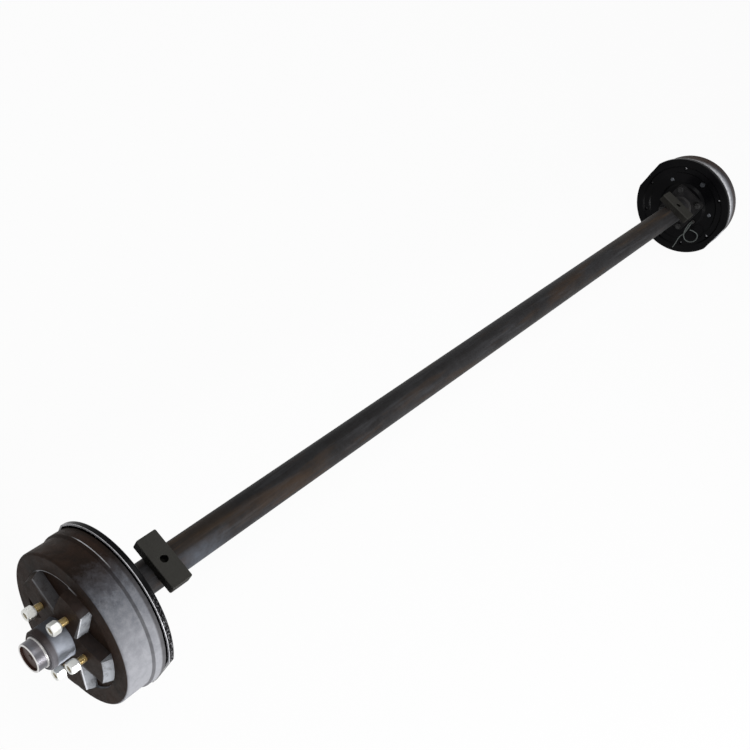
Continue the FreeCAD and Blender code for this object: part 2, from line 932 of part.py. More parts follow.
def anchor_post():
    base_face = plate_ring_face - plate_sheet
    tail = anchor_tail_diameter / 2
    post = turned([
        (0, anchor_end),
        (anchor_diameter / 2 - anchor_chamfer, anchor_end),
        (anchor_diameter / 2, anchor_end + anchor_chamfer),
        (anchor_diameter / 2, anchor_step),
        (anchor_base_diameter / 2, anchor_step),
        (anchor_base_diameter / 2, base_face),
        (tail, base_face),
        (tail, plate_ring_face),
        (tail + anchor_tail_lip, plate_ring_face),
        (tail, plate_ring_face + anchor_tail_length),
        (0, plate_ring_face + anchor_tail_length),
    ])
    ring_high = lever_back - lever_thickness - running_gap
    ring_low = ring_high - ring_thickness
    ring = rod(ring_diameter / 2, ring_low, ring_high).cut(rod(anchor_diameter / 2, 0, pole))
    for piece in (post, ring):
        piece.translate(V(0, 0, anchor_height))
    return [post, ring]


def hold_place(side):
    angle = hold_angle if side > 0 else 180 - hold_angle
    return at_angle(shoe_web_inner + hold_inset, angle)


def hold_downs():
    # A nail through the plate and each shoe's web, its cup, and the spring under the cup.
    solids = []
    radius = hold_pin_diameter / 2
    cup_radius = hold_cup_diameter / 2
    cup_back = hold_cup_face + hold_cup_wall
    tip = hold_cup_face - hold_pin_tip
    head_back = plate_ring_face + hold_head_height
    for side in (-1, 1):
        nail = turned([
            (0, tip),
            (radius, tip),
            (radius, hold_cup_face),
            (cup_radius, hold_cup_face),
            (cup_radius, cup_back),
            (radius, cup_back),
            (radius, plate_ring_face),
            (hold_head_diameter / 2, plate_ring_face),
            (hold_crown_diameter / 2, head_back),
            (0, head_back),
        ])
        spring = rod(cup_radius - hold_spring_inset, cup_back, web_low - running_gap)
        spring = spring.cut(rod(cup_radius - hold_spring_inset - hold_spring_wire, 0, pole))
        for piece in (nail, spring):
            piece.translate(hold_place(side))
            solids.append(piece)
    return solids


def web_outline():
    # Outline of the front shoe's web as (x, z) corners, from its shoulder over the toe at the
    # anchor, the throat and the heel at the adjuster, and back along the table.
    lug = lever_half_width + running_gap
    seat = anchor_diameter / 2 + running_gap
    shoulder = at_angle(table_inner, shoe_angle)
    toe = [(shoulder.x, shoulder.z), (toe_reach, toe_top), (lug, toe_top), (lug, anchor_height + seat)]
    for angle in toe_seat_angles:
        spot = at_angle(seat, angle)
        toe.append((spot.x, anchor_height + spot.z))
    throat = [
        (seat + throat_step, anchor_height - throat_drop),
        (throat_reach, anchor_height - 2 * throat_drop),
    ]
    inner = [at_angle(shoe_web_inner, angle) for angle in web_inner_angles]
    heel = [
        (heel_reach, adjuster_height + heel_rise),
        (shoe_pivot_x, adjuster_height + heel_half),
        (shoe_pivot_x, adjuster_height - heel_half),
        (heel_foot, adjuster_height - heel_height),
    ]
    steps = [shoe_angle * (2 * step / web_table_steps - 1) for step in range(web_table_steps + 1)]
    outer = [at_angle(table_inner + web_table_lap, angle) for angle in steps]
    return toe + throat + [(spot.x, spot.z) for spot in inner] + heel + [(spot.x, spot.z) for spot in outer]


def shoe(side, lining_angle):
    # One shoe and its lining. The rear one is the front one's mirror image.
    web = plate_from(web_outline(), web_low, web_high)
    high = shoe_start + shoe_width
    table = arc_band(table_inner, table_outer, shoe_angle, shoe_start, high)
    steel = fused([web, table])
    hold = hold_place(1)
    hook_hole = hook_hole_diameter / 2
    play = hook_hole - hook_pinch * spring_wire
    holes = [
        rod(hold_pin_diameter / 2 + hold_web_gap, 0, pole, hold.x, hold.z),
        rod(hook_hole, 0, pole, return_hook().x + play - hook_slack, return_hook().z),
        rod(hook_hole, 0, pole, adjuster_spring_hook_x + play - running_gap, adjuster_spring_z),
    ]
    for hole in holes:
        steel = steel.cut(hole)
    lining = arc_band(table_outer, lining_radius, lining_angle, shoe_start, high)
    if side < 0:
        steel = steel.mirror(centre, V(1, 0, 0))
        lining = lining.mirror(centre, V(1, 0, 0))
    return steel, lining


def return_hook():
    # Where the return spring hooks into the front shoe's web.
    return at_angle(table_inner - return_spring_hook_inset, return_spring_hook_angle)


def hook(x, z, from_depth, to_depth):
    # A spring's bent end, a little thicker where it is pinched to shape.
    radius = hook_pinch * spring_wire
    return rod(radius, from_depth, to_depth + radius, x, z)


def wire_between(start, end):
    way = end - start
    return Part.makeCylinder(spring_wire / 2, way.Length, start, way)


def shoe_springs():
    # Two springs from the anchor post to the shoes, and one across the adjuster.
    wire = spring_wire / 2
    solids = []
    loop_radius = anchor_diameter / 2 + return_spring_loop_gap
    rear_depth = return_spring_depth + spring_wire + return_spring_layer_gap
    for side, depth in ((1, return_spring_depth), (-1, rear_depth)):
        loop = rod(loop_radius + spring_wire, depth - wire, depth + wire, 0, anchor_height)
        loop = loop.cut(rod(loop_radius, 0, pole, 0, anchor_height))
        start = V(side * (loop_radius + wire), depth, anchor_height)
        end = V(side * return_hook().x, depth, return_hook().z)
        way = end - start
        coil_start = start + way * return_coil_start
        coil = Part.makeCylinder(return_spring_diameter / 2, way.Length * return_coil_share, coil_start, way)
        tail = hook(end.x, end.z, web_low - hook_reach, depth)
        solids.append(fused([loop, coil, wire_between(start, end), tail]))
    start = V(-adjuster_spring_hook_x, adjuster_spring_depth, adjuster_spring_z)
    end = V(adjuster_spring_hook_x, adjuster_spring_depth, adjuster_spring_z)
    coil_end = end.x * adjuster_coil_share
    coil = cross_rod(adjuster_spring_diameter / 2, -coil_end, coil_end, start.y, start.z)
    tails = [hook(spot.x, spot.z, web_low - hook_reach, start.y) for spot in (start, end)]
    solids.append(fused([coil, wire_between(start, end)] + tails))
    return solids


def socket(side):
    # One slotted end of the adjuster, bored for the screw.
    depth = web_middle
    low = star_start + star_width + socket_star_gap if side > 0 else rear_socket_start
    body = cross_rod(socket_diameter / 2, low, socket_end, depth, adjuster_height)
    floor = shoe_pivot_x - socket_floor
    bore = cross_rod(screw_diameter / 2 + screw_gap, low - cut_past, floor, depth, adjuster_height)
    half = socket_slot / 2
    slot = block(
        V(shoe_pivot_x - running_gap, depth - half, adjuster_height - pole),
        V(socket_end + cut_past, depth + half, adjuster_height + pole))
    body = body.cut(bore).cut(slot)
    if side < 0:
        body = body.mirror(centre, V(1, 0, 0))
    return body


def adjuster_sockets():
    return [socket(-1), socket(1)]


def adjuster_wheel():
    # The screw with its star wheel, turned through the slot in the backing plate.
    depth = web_middle
    outer = star_diameter / 2
    root = outer - star_tooth_depth
    corners = []
    pitch = 360.0 / star_teeth
    for tooth in range(star_teeth):
        for radius, share in zip((root, outer, outer, root), star_tooth_shares):
            turn = math.radians(pitch * (tooth + share))
            across = radius * math.cos(turn)
            corners.append(V(star_start, depth + across, adjuster_height + radius * math.sin(turn)))
    star = Part.Face(Part.makePolygon(corners + [corners[0]])).extrude(V(star_width, 0, 0))
    end = shoe_pivot_x - socket_floor - screw_end_gap
    screw = cross_rod(screw_diameter / 2, -end, end, depth, adjuster_height)
    return fused([star, screw])


def lever_strap(corners, low, high):
    # A flat strap through the given places, round at each of them.
    pieces = [rod(lever_half_width, low, high, x, z) for x, z in corners]
    for (x0, z0), (x1, z1) in zip(corners, corners[1:]):
        length = math.hypot(x1 - x0, z1 - z0)
        leg = block(V(0, low, -lever_half_width), V(length, high, lever_half_width))
        leg.rotate(centre, axle_line, -math.degrees(math.atan2(z1 - z0, x1 - x0)))
        leg.translate(V(x0, 0, z0))
        pieces.append(leg)
    return pieces


def magnet_lever():
    low = lever_back - lever_thickness
    bow = inner_barrel_diameter / 2 + lever_half_width + lever_bow_gap
    upper = at_angle(bow + lever_bow_step, lever_bow_angles[0])
    lower = at_angle(bow, lever_bow_angles[1])
    route = [(0, anchor_height), (upper.x, upper.z), (lower.x, lower.z), (magnet_place().x, magnet_place().z)]
    strap = lever_strap(route, low, lever_back)
    eye = rod(anchor_diameter / 2 + lever_eye_wall, low, lever_back, 0, anchor_height)
    horn = block(V(-lever_half_width, low, anchor_height), V(lever_half_width, lever_back, toe_top))
    lug = block(
        V(-lever_half_width, lever_back - lap, toe_top - lever_lug_height),
        V(lever_half_width, web_high, toe_top))
    lever = fused(strap + [eye, horn, lug])
    lever = lever.cut(rod(anchor_diameter / 2 + lever_pivot_gap, 0, pole, 0, anchor_height))
    return lever.cut(rod(magnet_stub_diameter / 2, 0, pole, magnet_place().x, magnet_place().z))


def magnet_place():
    # The magnet runs on the middle of the drum's armature face.
    return at_angle((armature_outer + armature_inner) / 4, magnet_angle)


def magnet():
    # The oval friction magnet, its long way round the drum, on a round stub in the lever's end.
    face = web_depth + armature_step + running_gap
    back = lever_back - lever_thickness - running_gap
    radius = magnet_width / 2
    half = magnet_length / 2 - radius
    ends = [rod(radius, face, back, side * half) for side in (-1, 1)]
    middle = block(V(-half, face, -radius), V(half, back, radius))
    turn = 90 - magnet_angle
    body = fused(ends + [middle])
    body.rotate(centre, axle_line, turn)
    stub = rod(magnet_stub_diameter / 2, back - lap, lever_back + magnet_stub_reach)
    whole = fused([body, stub])
    whole.translate(magnet_place())
    return whole


def axle_tube():
    half = -rim_face - tube_end
    return rod(tube_radius, -half, half).cut(rod(tube_bore_radius, -half - cut_past, half + cut_past))


def lead_routes():
    # The two lead wires' routes on the left plate, as (x, depth, z) places chosen by hand.
    face = flange_face + grommet_height
    half = lead_spacing / 2
    first = [
        (grommet_x - half, face, grommet_z),
        (grommet_x - half, face + 14, grommet_z),
        (grommet_x + 1, face + 24, grommet_z - 12),
        (grommet_x + 8, face + 26, grommet_z - 32),
        (grommet_x + 22, face + 18, grommet_z - 50),
        (grommet_x + 42, face + 12, grommet_z - 46),
        (grommet_x + 50, face + 8, grommet_z - 24),
        (grommet_x + 34, face + 12, grommet_z - 4),
        (grommet_x + 14, face + 20, grommet_z - 12),
    ]
    second = [
        (grommet_x + half, face, grommet_z),
        (grommet_x + half, face + 11, grommet_z),
        (grommet_x + 6, face + 18, grommet_z - 14),
        (grommet_x + 9, face + 17, grommet_z - 34),
        (grommet_x + 4, face + 12, grommet_z - 58),
        (grommet_x + 10, face + 8, grommet_z - 84),
        (grommet_x + 12, face + 5, grommet_z - 104),
    ]
    return first, second


def lead_wire(route):
    # A tube of straight runs joined by tangent arcs.
    places = [V(*place) for place in route]
    edges = []
    here = places[0]
    for before, corner, after in zip(places, places[1:], places[2:]):
        run_in = corner - before
        run_out = after - corner
        turn = run_in.getAngle(run_out)
        trim = lead_arc_share * min(run_in.Length, run_out.Length)
        radius = trim / math.tan(turn / 2)
        run_in.normalize()
        run_out.normalize()
        start = corner - run_in * trim
        end = corner + run_out * trim
        inward = (run_out - run_in).normalize()
        middle = corner + inward * (radius / math.cos(turn / 2) - radius)
        edges.append(Part.LineSegment(here, start).toShape())
        edges.append(Part.Arc(start, middle, end).toShape())
        print("lead turn", round(math.degrees(turn)), "radius", round(radius, 1))
        here = end
    edges.append(Part.LineSegment(here, places[-1]).toShape())
    path = Part.Wire(edges)
    ring = Part.Wire(Part.makeCircle(lead_diameter / 2, places[0], places[1] - places[0]))
    tube = path.makePipeShell([ring], True, False, 2)
    print("lead", round(path.Length, 1), round(tube.Volume / (path.Length * ring_area()), 4))
    return tube


def ring_area():
    return math.pi * lead_diameter ** 2 / 4


def end_pieces():
    front_shoe, front_lining = shoe(1, primary_lining_angle)
    rear_shoe, rear_lining = shoe(-1, secondary_lining_angle)
    return {
        "spindle": spindle(),
        "brake_flange": brake_flange(),
        "spring_seat": spring_seat(),
        "backing_plate": backing_plate(),
        "flange_bolts": flange_bolts(),
        "anchor_post": anchor_post(),
        "thrust_washer": thrust_washer(),
        "spindle_nut": spindle_nut(),
        "cotter_pin": cotter_pin(),
        "bearing_cones": bearing_cones(),
        "bearing_rollers": bearing_rollers(),
        "bearing_cups": bearing_cups(),
        "grease_seal": grease_seal(),
        "hub_drum": hub_drum(),
        "wheel_studs": wheel_studs(),
        "wheel_nuts": wheel_nuts(),
        "grease_cap": grease_cap(),
        "cap_plug": cap_plug(),
        "hold_downs": hold_downs(),
        "adjuster_sockets": adjuster_sockets(),
        "adjuster_wheel": adjuster_wheel(),
        "rubber_plugs": rubber_plugs(),
        "primary_shoe": front_shoe,
        "primary_lining": front_lining,
        "secondary_shoe": rear_shoe,
        "secondary_lining": rear_lining,
        "shoe_springs": shoe_springs(),
        "magnet_lever": magnet_lever(),
        "magnet": magnet(),
    }


def placed(shape, side):
    # Right-hand pieces move out to their station. Left-hand ones are their mirror images.
    copy = shape.copy()
    copy.translate(V(0, rim_face, 0))
    return copy if side == "right" else copy.mirror(centre, axle_line)


def export(name, shape):
    shape.exportStep(os.path.join("parts", name + ".step"))


def whole_piece(shape):
    return Part.makeCompound(shape) if isinstance(shape, list) else shape


def build():
    os.makedirs("parts", exist_ok=True)
    export("axle_tube", axle_tube())
    for name, shape in end_pieces().items():
        for side in ("right", "left"):
            export(side + "_" + name, placed(whole_piece(shape), side))
    leads = [lead_wire(route) for route in lead_routes()]
    export("left_magnet_leads", placed(Part.makeCompound(leads), "left"))


build()
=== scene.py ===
import math

import bpy
from mathutils import Matrix, Vector


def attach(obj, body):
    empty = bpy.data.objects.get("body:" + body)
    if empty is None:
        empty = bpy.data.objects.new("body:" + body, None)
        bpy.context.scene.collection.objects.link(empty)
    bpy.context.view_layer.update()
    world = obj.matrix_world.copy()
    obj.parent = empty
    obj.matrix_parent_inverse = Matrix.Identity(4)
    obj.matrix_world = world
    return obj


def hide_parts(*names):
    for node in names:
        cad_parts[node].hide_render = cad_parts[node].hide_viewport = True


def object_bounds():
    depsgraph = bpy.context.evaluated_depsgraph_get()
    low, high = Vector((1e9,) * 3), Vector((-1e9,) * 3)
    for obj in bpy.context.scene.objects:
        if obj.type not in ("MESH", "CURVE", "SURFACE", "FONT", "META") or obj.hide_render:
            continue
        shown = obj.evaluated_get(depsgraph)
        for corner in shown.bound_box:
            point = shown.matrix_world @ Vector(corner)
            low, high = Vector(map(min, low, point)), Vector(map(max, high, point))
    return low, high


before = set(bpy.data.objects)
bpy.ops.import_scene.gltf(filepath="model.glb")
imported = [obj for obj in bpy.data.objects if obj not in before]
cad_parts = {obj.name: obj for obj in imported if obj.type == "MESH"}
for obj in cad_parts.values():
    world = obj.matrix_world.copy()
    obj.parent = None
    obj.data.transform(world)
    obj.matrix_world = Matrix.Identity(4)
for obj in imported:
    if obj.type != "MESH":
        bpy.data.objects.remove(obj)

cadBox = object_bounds()
print("loaded", len(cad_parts), "nodes")


# Camera, at the photograph's own viewpoint

cameraFit = {
    "place": (0.286, -1.750, 1.549),
    "right": (0.6562, 0.6273, 0.4194),
    "down": (0.7349, -0.4052, -0.5438),
    "forward": (-0.1711, 0.6651, -0.7269),
    "lens": 47.60,
    "sensor": 36.0,
    "clip": (0.05, 60.0),
}


def makeCamera(fit):
    data = bpy.data.cameras.new("viewCamera")
    data.lens = fit["lens"]
    data.sensor_width = fit["sensor"]
    data.clip_start, data.clip_end = fit["clip"]
    camera = bpy.data.objects.new("viewCamera", data)
    bpy.context.collection.objects.link(camera)
    columns = [Vector(fit["right"]), -Vector(fit["down"]), -Vector(fit["forward"])]
    turn = Matrix(columns).transposed().to_quaternion()
    camera.matrix_world = Matrix.LocRotScale(Vector(fit["place"]), turn, None)
    bpy.context.scene.camera = camera


makeCamera(cameraFit)
bpy.context.scene.view_settings.view_transform = "Standard"
print("camera set")


# The magnet's two lead wires, out of the left backing plate

leadWires = {
    "diameter": 0.0032,
    "sides": 6,
    "steps": 12,
    "order": 3,
    "looped": {
        "length": 0.159,
        "points": [
            (0.0554, 1.088, -0.008),
            (0.0554, 1.074, -0.008),
            (0.0585, 1.064, -0.020),
            (0.0655, 1.062, -0.040),
            (0.0795, 1.070, -0.058),
            (0.0995, 1.076, -0.054),
            (0.1075, 1.080, -0.032),
            (0.0915, 1.076, -0.012),
            (0.0715, 1.068, -0.020),
        ],
    },
    "straight": {
        "length": 0.1177,
        "points": [
            (0.0596, 1.088, -0.008),
            (0.0596, 1.077, -0.008),
            (0.0635, 1.070, -0.022),
            (0.0665, 1.071, -0.042),
            (0.0615, 1.076, -0.066),
            (0.0675, 1.080, -0.092),
            (0.0695, 1.083, -0.112),
        ],
    },
}


def makeLead(key, look):
    name = "lead_" + key
    wire = look[key]
    diameter = look["diameter"]
    curve = bpy.data.curves.new(name, "CURVE")
    curve.dimensions = "3D"
    curve.bevel_depth = 1.0  # the points' own radius gives the thickness
    curve.bevel_resolution = look["sides"]
    curve.resolution_u = look["steps"]
    curve.use_fill_caps = True
    spline = curve.splines.new("NURBS")
    spline.points.add(len(wire["points"]) - 1)
    for point, place in zip(spline.points, wire["points"]):
        point.co = (*place, 1.0)
        point.radius = diameter / 2
    spline.order_u = look["order"]
    spline.use_endpoint_u = True
    lead = bpy.data.objects.new(name, curve)
    bpy.context.collection.objects.link(lead)
    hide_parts("left_magnet_leads")
    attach(lead, "axle")
    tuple(wire["points"][0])
    return lead


leads = [makeLead(key, leadWires) for key in ("looped", "straight")]
print("lead wires made")


# Small helpers for node trees

def feed(tree, socket, value):
    # A link from another node's socket, or a plain value.
    if isinstance(value, bpy.types.NodeSocket):
        tree.links.new(value, socket)
    else:
        socket.default_value = value


def addNode(tree, kind, values=None, **settings):
    node = tree.nodes.new(kind)
    for key, value in settings.items():
        setattr(node, key, value)
    for key, value in (values or {}).items():
        feed(tree, node.inputs[key], value)
    return node


def useGroup(tree, group, values=None):
    return addNode(tree, "ShaderNodeGroup", values, node_tree=group).outputs


def maths(tree, operation, first, second=0.0, clamp=False):
    values = {0: first, 1: second}
    return addNode(tree, "ShaderNodeMath", values, operation=operation, use_clamp=clamp).outputs[0]


def times(tree, value, *others):
    for other in others:
        value = maths(tree, "MULTIPLY", value, other)
    return value


def most(tree, value, *others):
    for other in others:
        value = maths(tree, "MAXIMUM", value, other)
    return value


def scaled(tree, value, factor, offset, clamp=False):
    return maths(tree, "ADD", times(tree, value, factor), offset, clamp)


def mixColour(tree, factor, first, second):
    node = addNode(tree, "ShaderNodeMix", {0: factor}, data_type="RGBA")
    for key, colour in ((6, first), (7, second)):
        isSocket = isinstance(colour, bpy.types.NodeSocket)
        feed(tree, node.inputs[key], colour if isSocket else (*colour, 1.0))
    return node.outputs[2]


def mixValue(tree, factor, first, second):
    values = {0: factor, 2: first, 3: second}
    return addNode(tree, "ShaderNodeMix", values, data_type="FLOAT").outputs[0]


def noise(tree, place, scale, detail, roughness):
    values = {"Vector": place, "Scale": scale, "Detail": detail, "Roughness": roughness}
    return addNode(tree, "ShaderNodeTexNoise", values).outputs["Fac"]


def newGroup(name, inputs, outputs):
    group = bpy.data.node_groups.new(name, "ShaderNodeTree")
    for label, kind, value in inputs:
        socket = group.interface.new_socket(label, in_out="INPUT", socket_type=kind)
        if value is not None:
            socket.default_value = value
    for label, kind in outputs:
        group.interface.new_socket(label, in_out="OUTPUT", socket_type=kind)
    return group, group.nodes.new("NodeGroupInput"), group.nodes.new("NodeGroupOutput")


# Shared effects. Distances are in metres, and a depth counts inboard from the drum's rim face

rimFace = 1.178


def makeAxlePlace():
    # Where a point is on the axle. Along is its Y, Front its X and Up its Z.
    group, _, out = newGroup("axlePlace", [], [
        ("Radius", "NodeSocketFloat"), ("Depth", "NodeSocketFloat"), ("Turn", "NodeSocketFloat"),
        ("Along", "NodeSocketFloat"), ("Front", "NodeSocketFloat"), ("Up", "NodeSocketFloat"),
        ("Place", "NodeSocketVector"),
    ])
    place = addNode(group, "ShaderNodeTexCoord").outputs["Object"]
    x, y, z = addNode(group, "ShaderNodeSeparateXYZ", {0: place}).outputs
    squares = maths(group, "ADD", times(group, x, x), times(group, z, z))
    values = {
        "Radius": maths(group, "SQRT", squares),
        "Depth": maths(group, "SUBTRACT", rimFace, maths(group, "ABSOLUTE", y)),
        "Turn": maths(group, "ARCTAN2", z, x),
        "Along": y,
        "Front": x,
        "Up": z,
        "Place": place,
    }
    for label, value in values.items():
        group.links.new(value, out.inputs[label])
    return group


def makeBand():
    # 1 between two values, fading to 0 over Soft outside them.
    group, given, out = newGroup("band", [
        ("Value", "NodeSocketFloat", 0.0), ("From", "NodeSocketFloat", 0.0),
        ("To", "NodeSocketFloat", 1.0), ("Soft", "NodeSocketFloat", 0.001),
    ], [("Mask", "NodeSocketFloat")])
    value, low, high, soft = given.outputs[:4]
    rise = maths(group, "DIVIDE", maths(group, "SUBTRACT", value, low), soft)
    fall = maths(group, "DIVIDE", maths(group, "SUBTRACT", high, value), soft)
    rise = maths(group, "ADD", rise, 1.0, clamp=True)
    fall = maths(group, "ADD", fall, 1.0, clamp=True)
    group.links.new(times(group, rise, fall), out.inputs["Mask"])
    return group


mottleNoise = {
    "wide": {"detail": 3.0, "roughness": 0.55},
    "fine": {"detail": 4.0, "roughness": 0.65},
    "finer": 7.0,
    "fineShare": 0.38,
    "middle": 0.5,
}


def makeMottle(look):
    # Soft patches with finer ones inside them, as on old castings and mill scale.
    group, given, out = newGroup("mottle", [
        ("Place", "NodeSocketVector", None), ("Scale", "NodeSocketFloat", 20.0),
        ("Contrast", "NodeSocketFloat", 2.0), ("Level", "NodeSocketFloat", 0.5),
    ], [("Mask", "NodeSocketFloat"), ("Height", "NodeSocketFloat")])
    place, scale, contrast, level = given.outputs[:4]
    wide = noise(group, place, scale, **look["wide"])
    fine = noise(group, place, times(group, scale, look["finer"]), **look["fine"])
    both = mixValue(group, look["fineShare"], wide, fine)
    above = maths(group, "SUBTRACT", both, level)
    mask = scaled(group, above, contrast, look["middle"], clamp=True)
    group.links.new(mask, out.inputs["Mask"])
    group.links.new(fine, out.inputs["Height"])
    return group


grainNoise = {
    "bumps": {"detail": 3.0, "roughness": 0.6},
    "pitScale": 0.45,
    "pitSize": 0.22,
    "pitSlope": 5.0,
    "pitDepth": 0.5,
}


def makeGrain(look):
    # Sand-cast grain: fine bumps and a few pits.
    group, given, out = newGroup("castGrain", [
        ("Place", "NodeSocketVector", None), ("Scale", "NodeSocketFloat", 420.0),
    ], [("Height", "NodeSocketFloat"), ("Pits", "NodeSocketFloat")])
    place, scale = given.outputs[:2]
    bumps = noise(group, place, scale, **look["bumps"])
    spread = times(group, scale, look["pitScale"])
    cells = addNode(group, "ShaderNodeTexVoronoi", {"Vector": place, "Scale": spread})
    pits = maths(group, "SUBTRACT", look["pitSize"], cells.outputs["Distance"])
    pits = maths(group, "MULTIPLY", pits, look["pitSlope"], clamp=True)
    height = maths(group, "SUBTRACT", bumps, times(group, pits, look["pitDepth"]))
    group.links.new(height, out.inputs["Height"])
    group.links.new(pits, out.inputs["Pits"])
    return group


streakNoise = {"detail": 5.0, "roughness": 0.6}


def makeStreaks(look):
    # Long thin marks. Stretch is how many times longer they are along Y than across.
    group, given, out = newGroup("streaks", [
        ("Place", "NodeSocketVector", None), ("Scale", "NodeSocketFloat", 60.0),
        ("Stretch", "NodeSocketFloat", 12.0), ("Level", "NodeSocketFloat", 0.56),
        ("Contrast", "NodeSocketFloat", 6.0),
    ], [("Mask", "NodeSocketFloat"), ("Height", "NodeSocketFloat")])
    place, scale, stretch, level, contrast = given.outputs[:5]
    x, y, z = addNode(group, "ShaderNodeSeparateXYZ", {0: place}).outputs
    squeezed = maths(group, "DIVIDE", y, stretch)
    spot = addNode(group, "ShaderNodeCombineXYZ", {0: x, 1: squeezed, 2: z}).outputs[0]
    marks = noise(group, spot, scale, **look)
    mask = maths(group, "MULTIPLY", maths(group, "SUBTRACT", marks, level), contrast, clamp=True)
    group.links.new(mask, out.inputs["Mask"])
    group.links.new(marks, out.inputs["Height"])
    return group


latheFeed = 0.83


def makeLatheMarks(feedShare):
    # Fine turning rings about the axle's line, on faces and along bores.
    group, given, out = newGroup("latheMarks", [
        ("Radius", "NodeSocketFloat", 0.0), ("Depth", "NodeSocketFloat", 0.0),
        ("Pitch", "NodeSocketFloat", 0.0006),
    ], [("Height", "NodeSocketFloat")])
    radius, depth, pitch = given.outputs[:3]
    way = maths(group, "ADD", radius, times(group, depth, feedShare))
    phase = times(group, maths(group, "DIVIDE", way, pitch), 2 * math.pi)
    group.links.new(maths(group, "SINE", phase), out.inputs["Height"])
    return group


placeGroup = makeAxlePlace()
bandGroup = makeBand()
mottleGroup = makeMottle(mottleNoise)
grainGroup = makeGrain(grainNoise)
streaksGroup = makeStreaks(streakNoise)
latheGroup = makeLatheMarks(latheFeed)
print("shared effects made")


# In every look a mottle is (scale, contrast, level), streaks are (scale, stretch, level, contrast),
# a band is (from, to, softness), a bump is (distance, strength), and uneven is how far the
# roughness spreads over a mask and how far below the look's own it starts.

class Finish:
    # One material under construction, with its Principled shader.
    def __init__(self, name, colour, roughness, metallic=0.0, specular=0.5):
        self.material = bpy.data.materials.new(name)
        self.material.use_nodes = True
        self.material.diffuse_color = (*colour, 1.0)
        self.tree = self.material.node_tree
        self.shader = self.tree.nodes["Principled BSDF"]
        self.roughness = roughness
        self.set("Base Color", (*colour, 1.0))
        self.set("Roughness", roughness)
        self.set("Metallic", metallic)
        self.set("Specular IOR Level", specular)
        self.where = useGroup(self.tree, placeGroup)

    def set(self, label, value):
        feed(self.tree, self.shader.inputs[label], value)

    def maths(self, operation, first, second=0.0, clamp=False):
        return maths(self.tree, operation, first, second, clamp)

    def times(self, *values):
        return times(self.tree, *values)

    def most(self, *values):
        return most(self.tree, *values)

    def scaled(self, value, factor, offset, clamp=False):
        return scaled(self.tree, value, factor, offset, clamp)

    def lifted(self, mask, amount):
        return self.maths("ADD", mask, amount, clamp=True)

    def mix(self, factor, first, second):
        return mixColour(self.tree, factor, first, second)

    def mixValue(self, factor, first, second):
        return mixValue(self.tree, factor, first, second)

    def band(self, label, low, high, soft):
        values = {"Value": self.where[label], "From": low, "To": high, "Soft": soft}
        return useGroup(self.tree, bandGroup, values)["Mask"]

    def zone(self, bands):
        # 1 where every one of the named bands is.
        return self.times(*[self.band(label, *limits) for label, limits in bands.items()])

    def apart(self, front, up):
        # How far a point is from a line along Y.
        across = self.maths("SUBTRACT", self.where["Front"], front)
        above = self.maths("SUBTRACT", self.where["Up"], up)
        squares = self.maths("ADD", self.times(across, across), self.times(above, above))
        return self.maths("SQRT", squares)

    def mottle(self, scale, contrast, level):
        values = {"Place": self.where["Place"], "Scale": scale, "Contrast": contrast,
                  "Level": level}
        return useGroup(self.tree, mottleGroup, values)

    def grain(self, scale):
        return useGroup(self.tree, grainGroup, {"Place": self.where["Place"], "Scale": scale})

    def streaks(self, scale, stretch, level, contrast):
        values = {"Place": self.where["Place"], "Scale": scale, "Stretch": stretch,
                  "Level": level, "Contrast": contrast}
        return useGroup(self.tree, streaksGroup, values)

    def unevenRoughness(self, mask, uneven):
        spread, below = uneven
        return self.scaled(mask, spread, self.roughness - below)

    def bump(self, height, distance, strength):
        values = {"Height": height, "Distance": distance, "Strength": strength}
        self.set("Normal", addNode(self.tree, "ShaderNodeBump", values).outputs["Normal"])


# Raw cast iron of the hub and drum

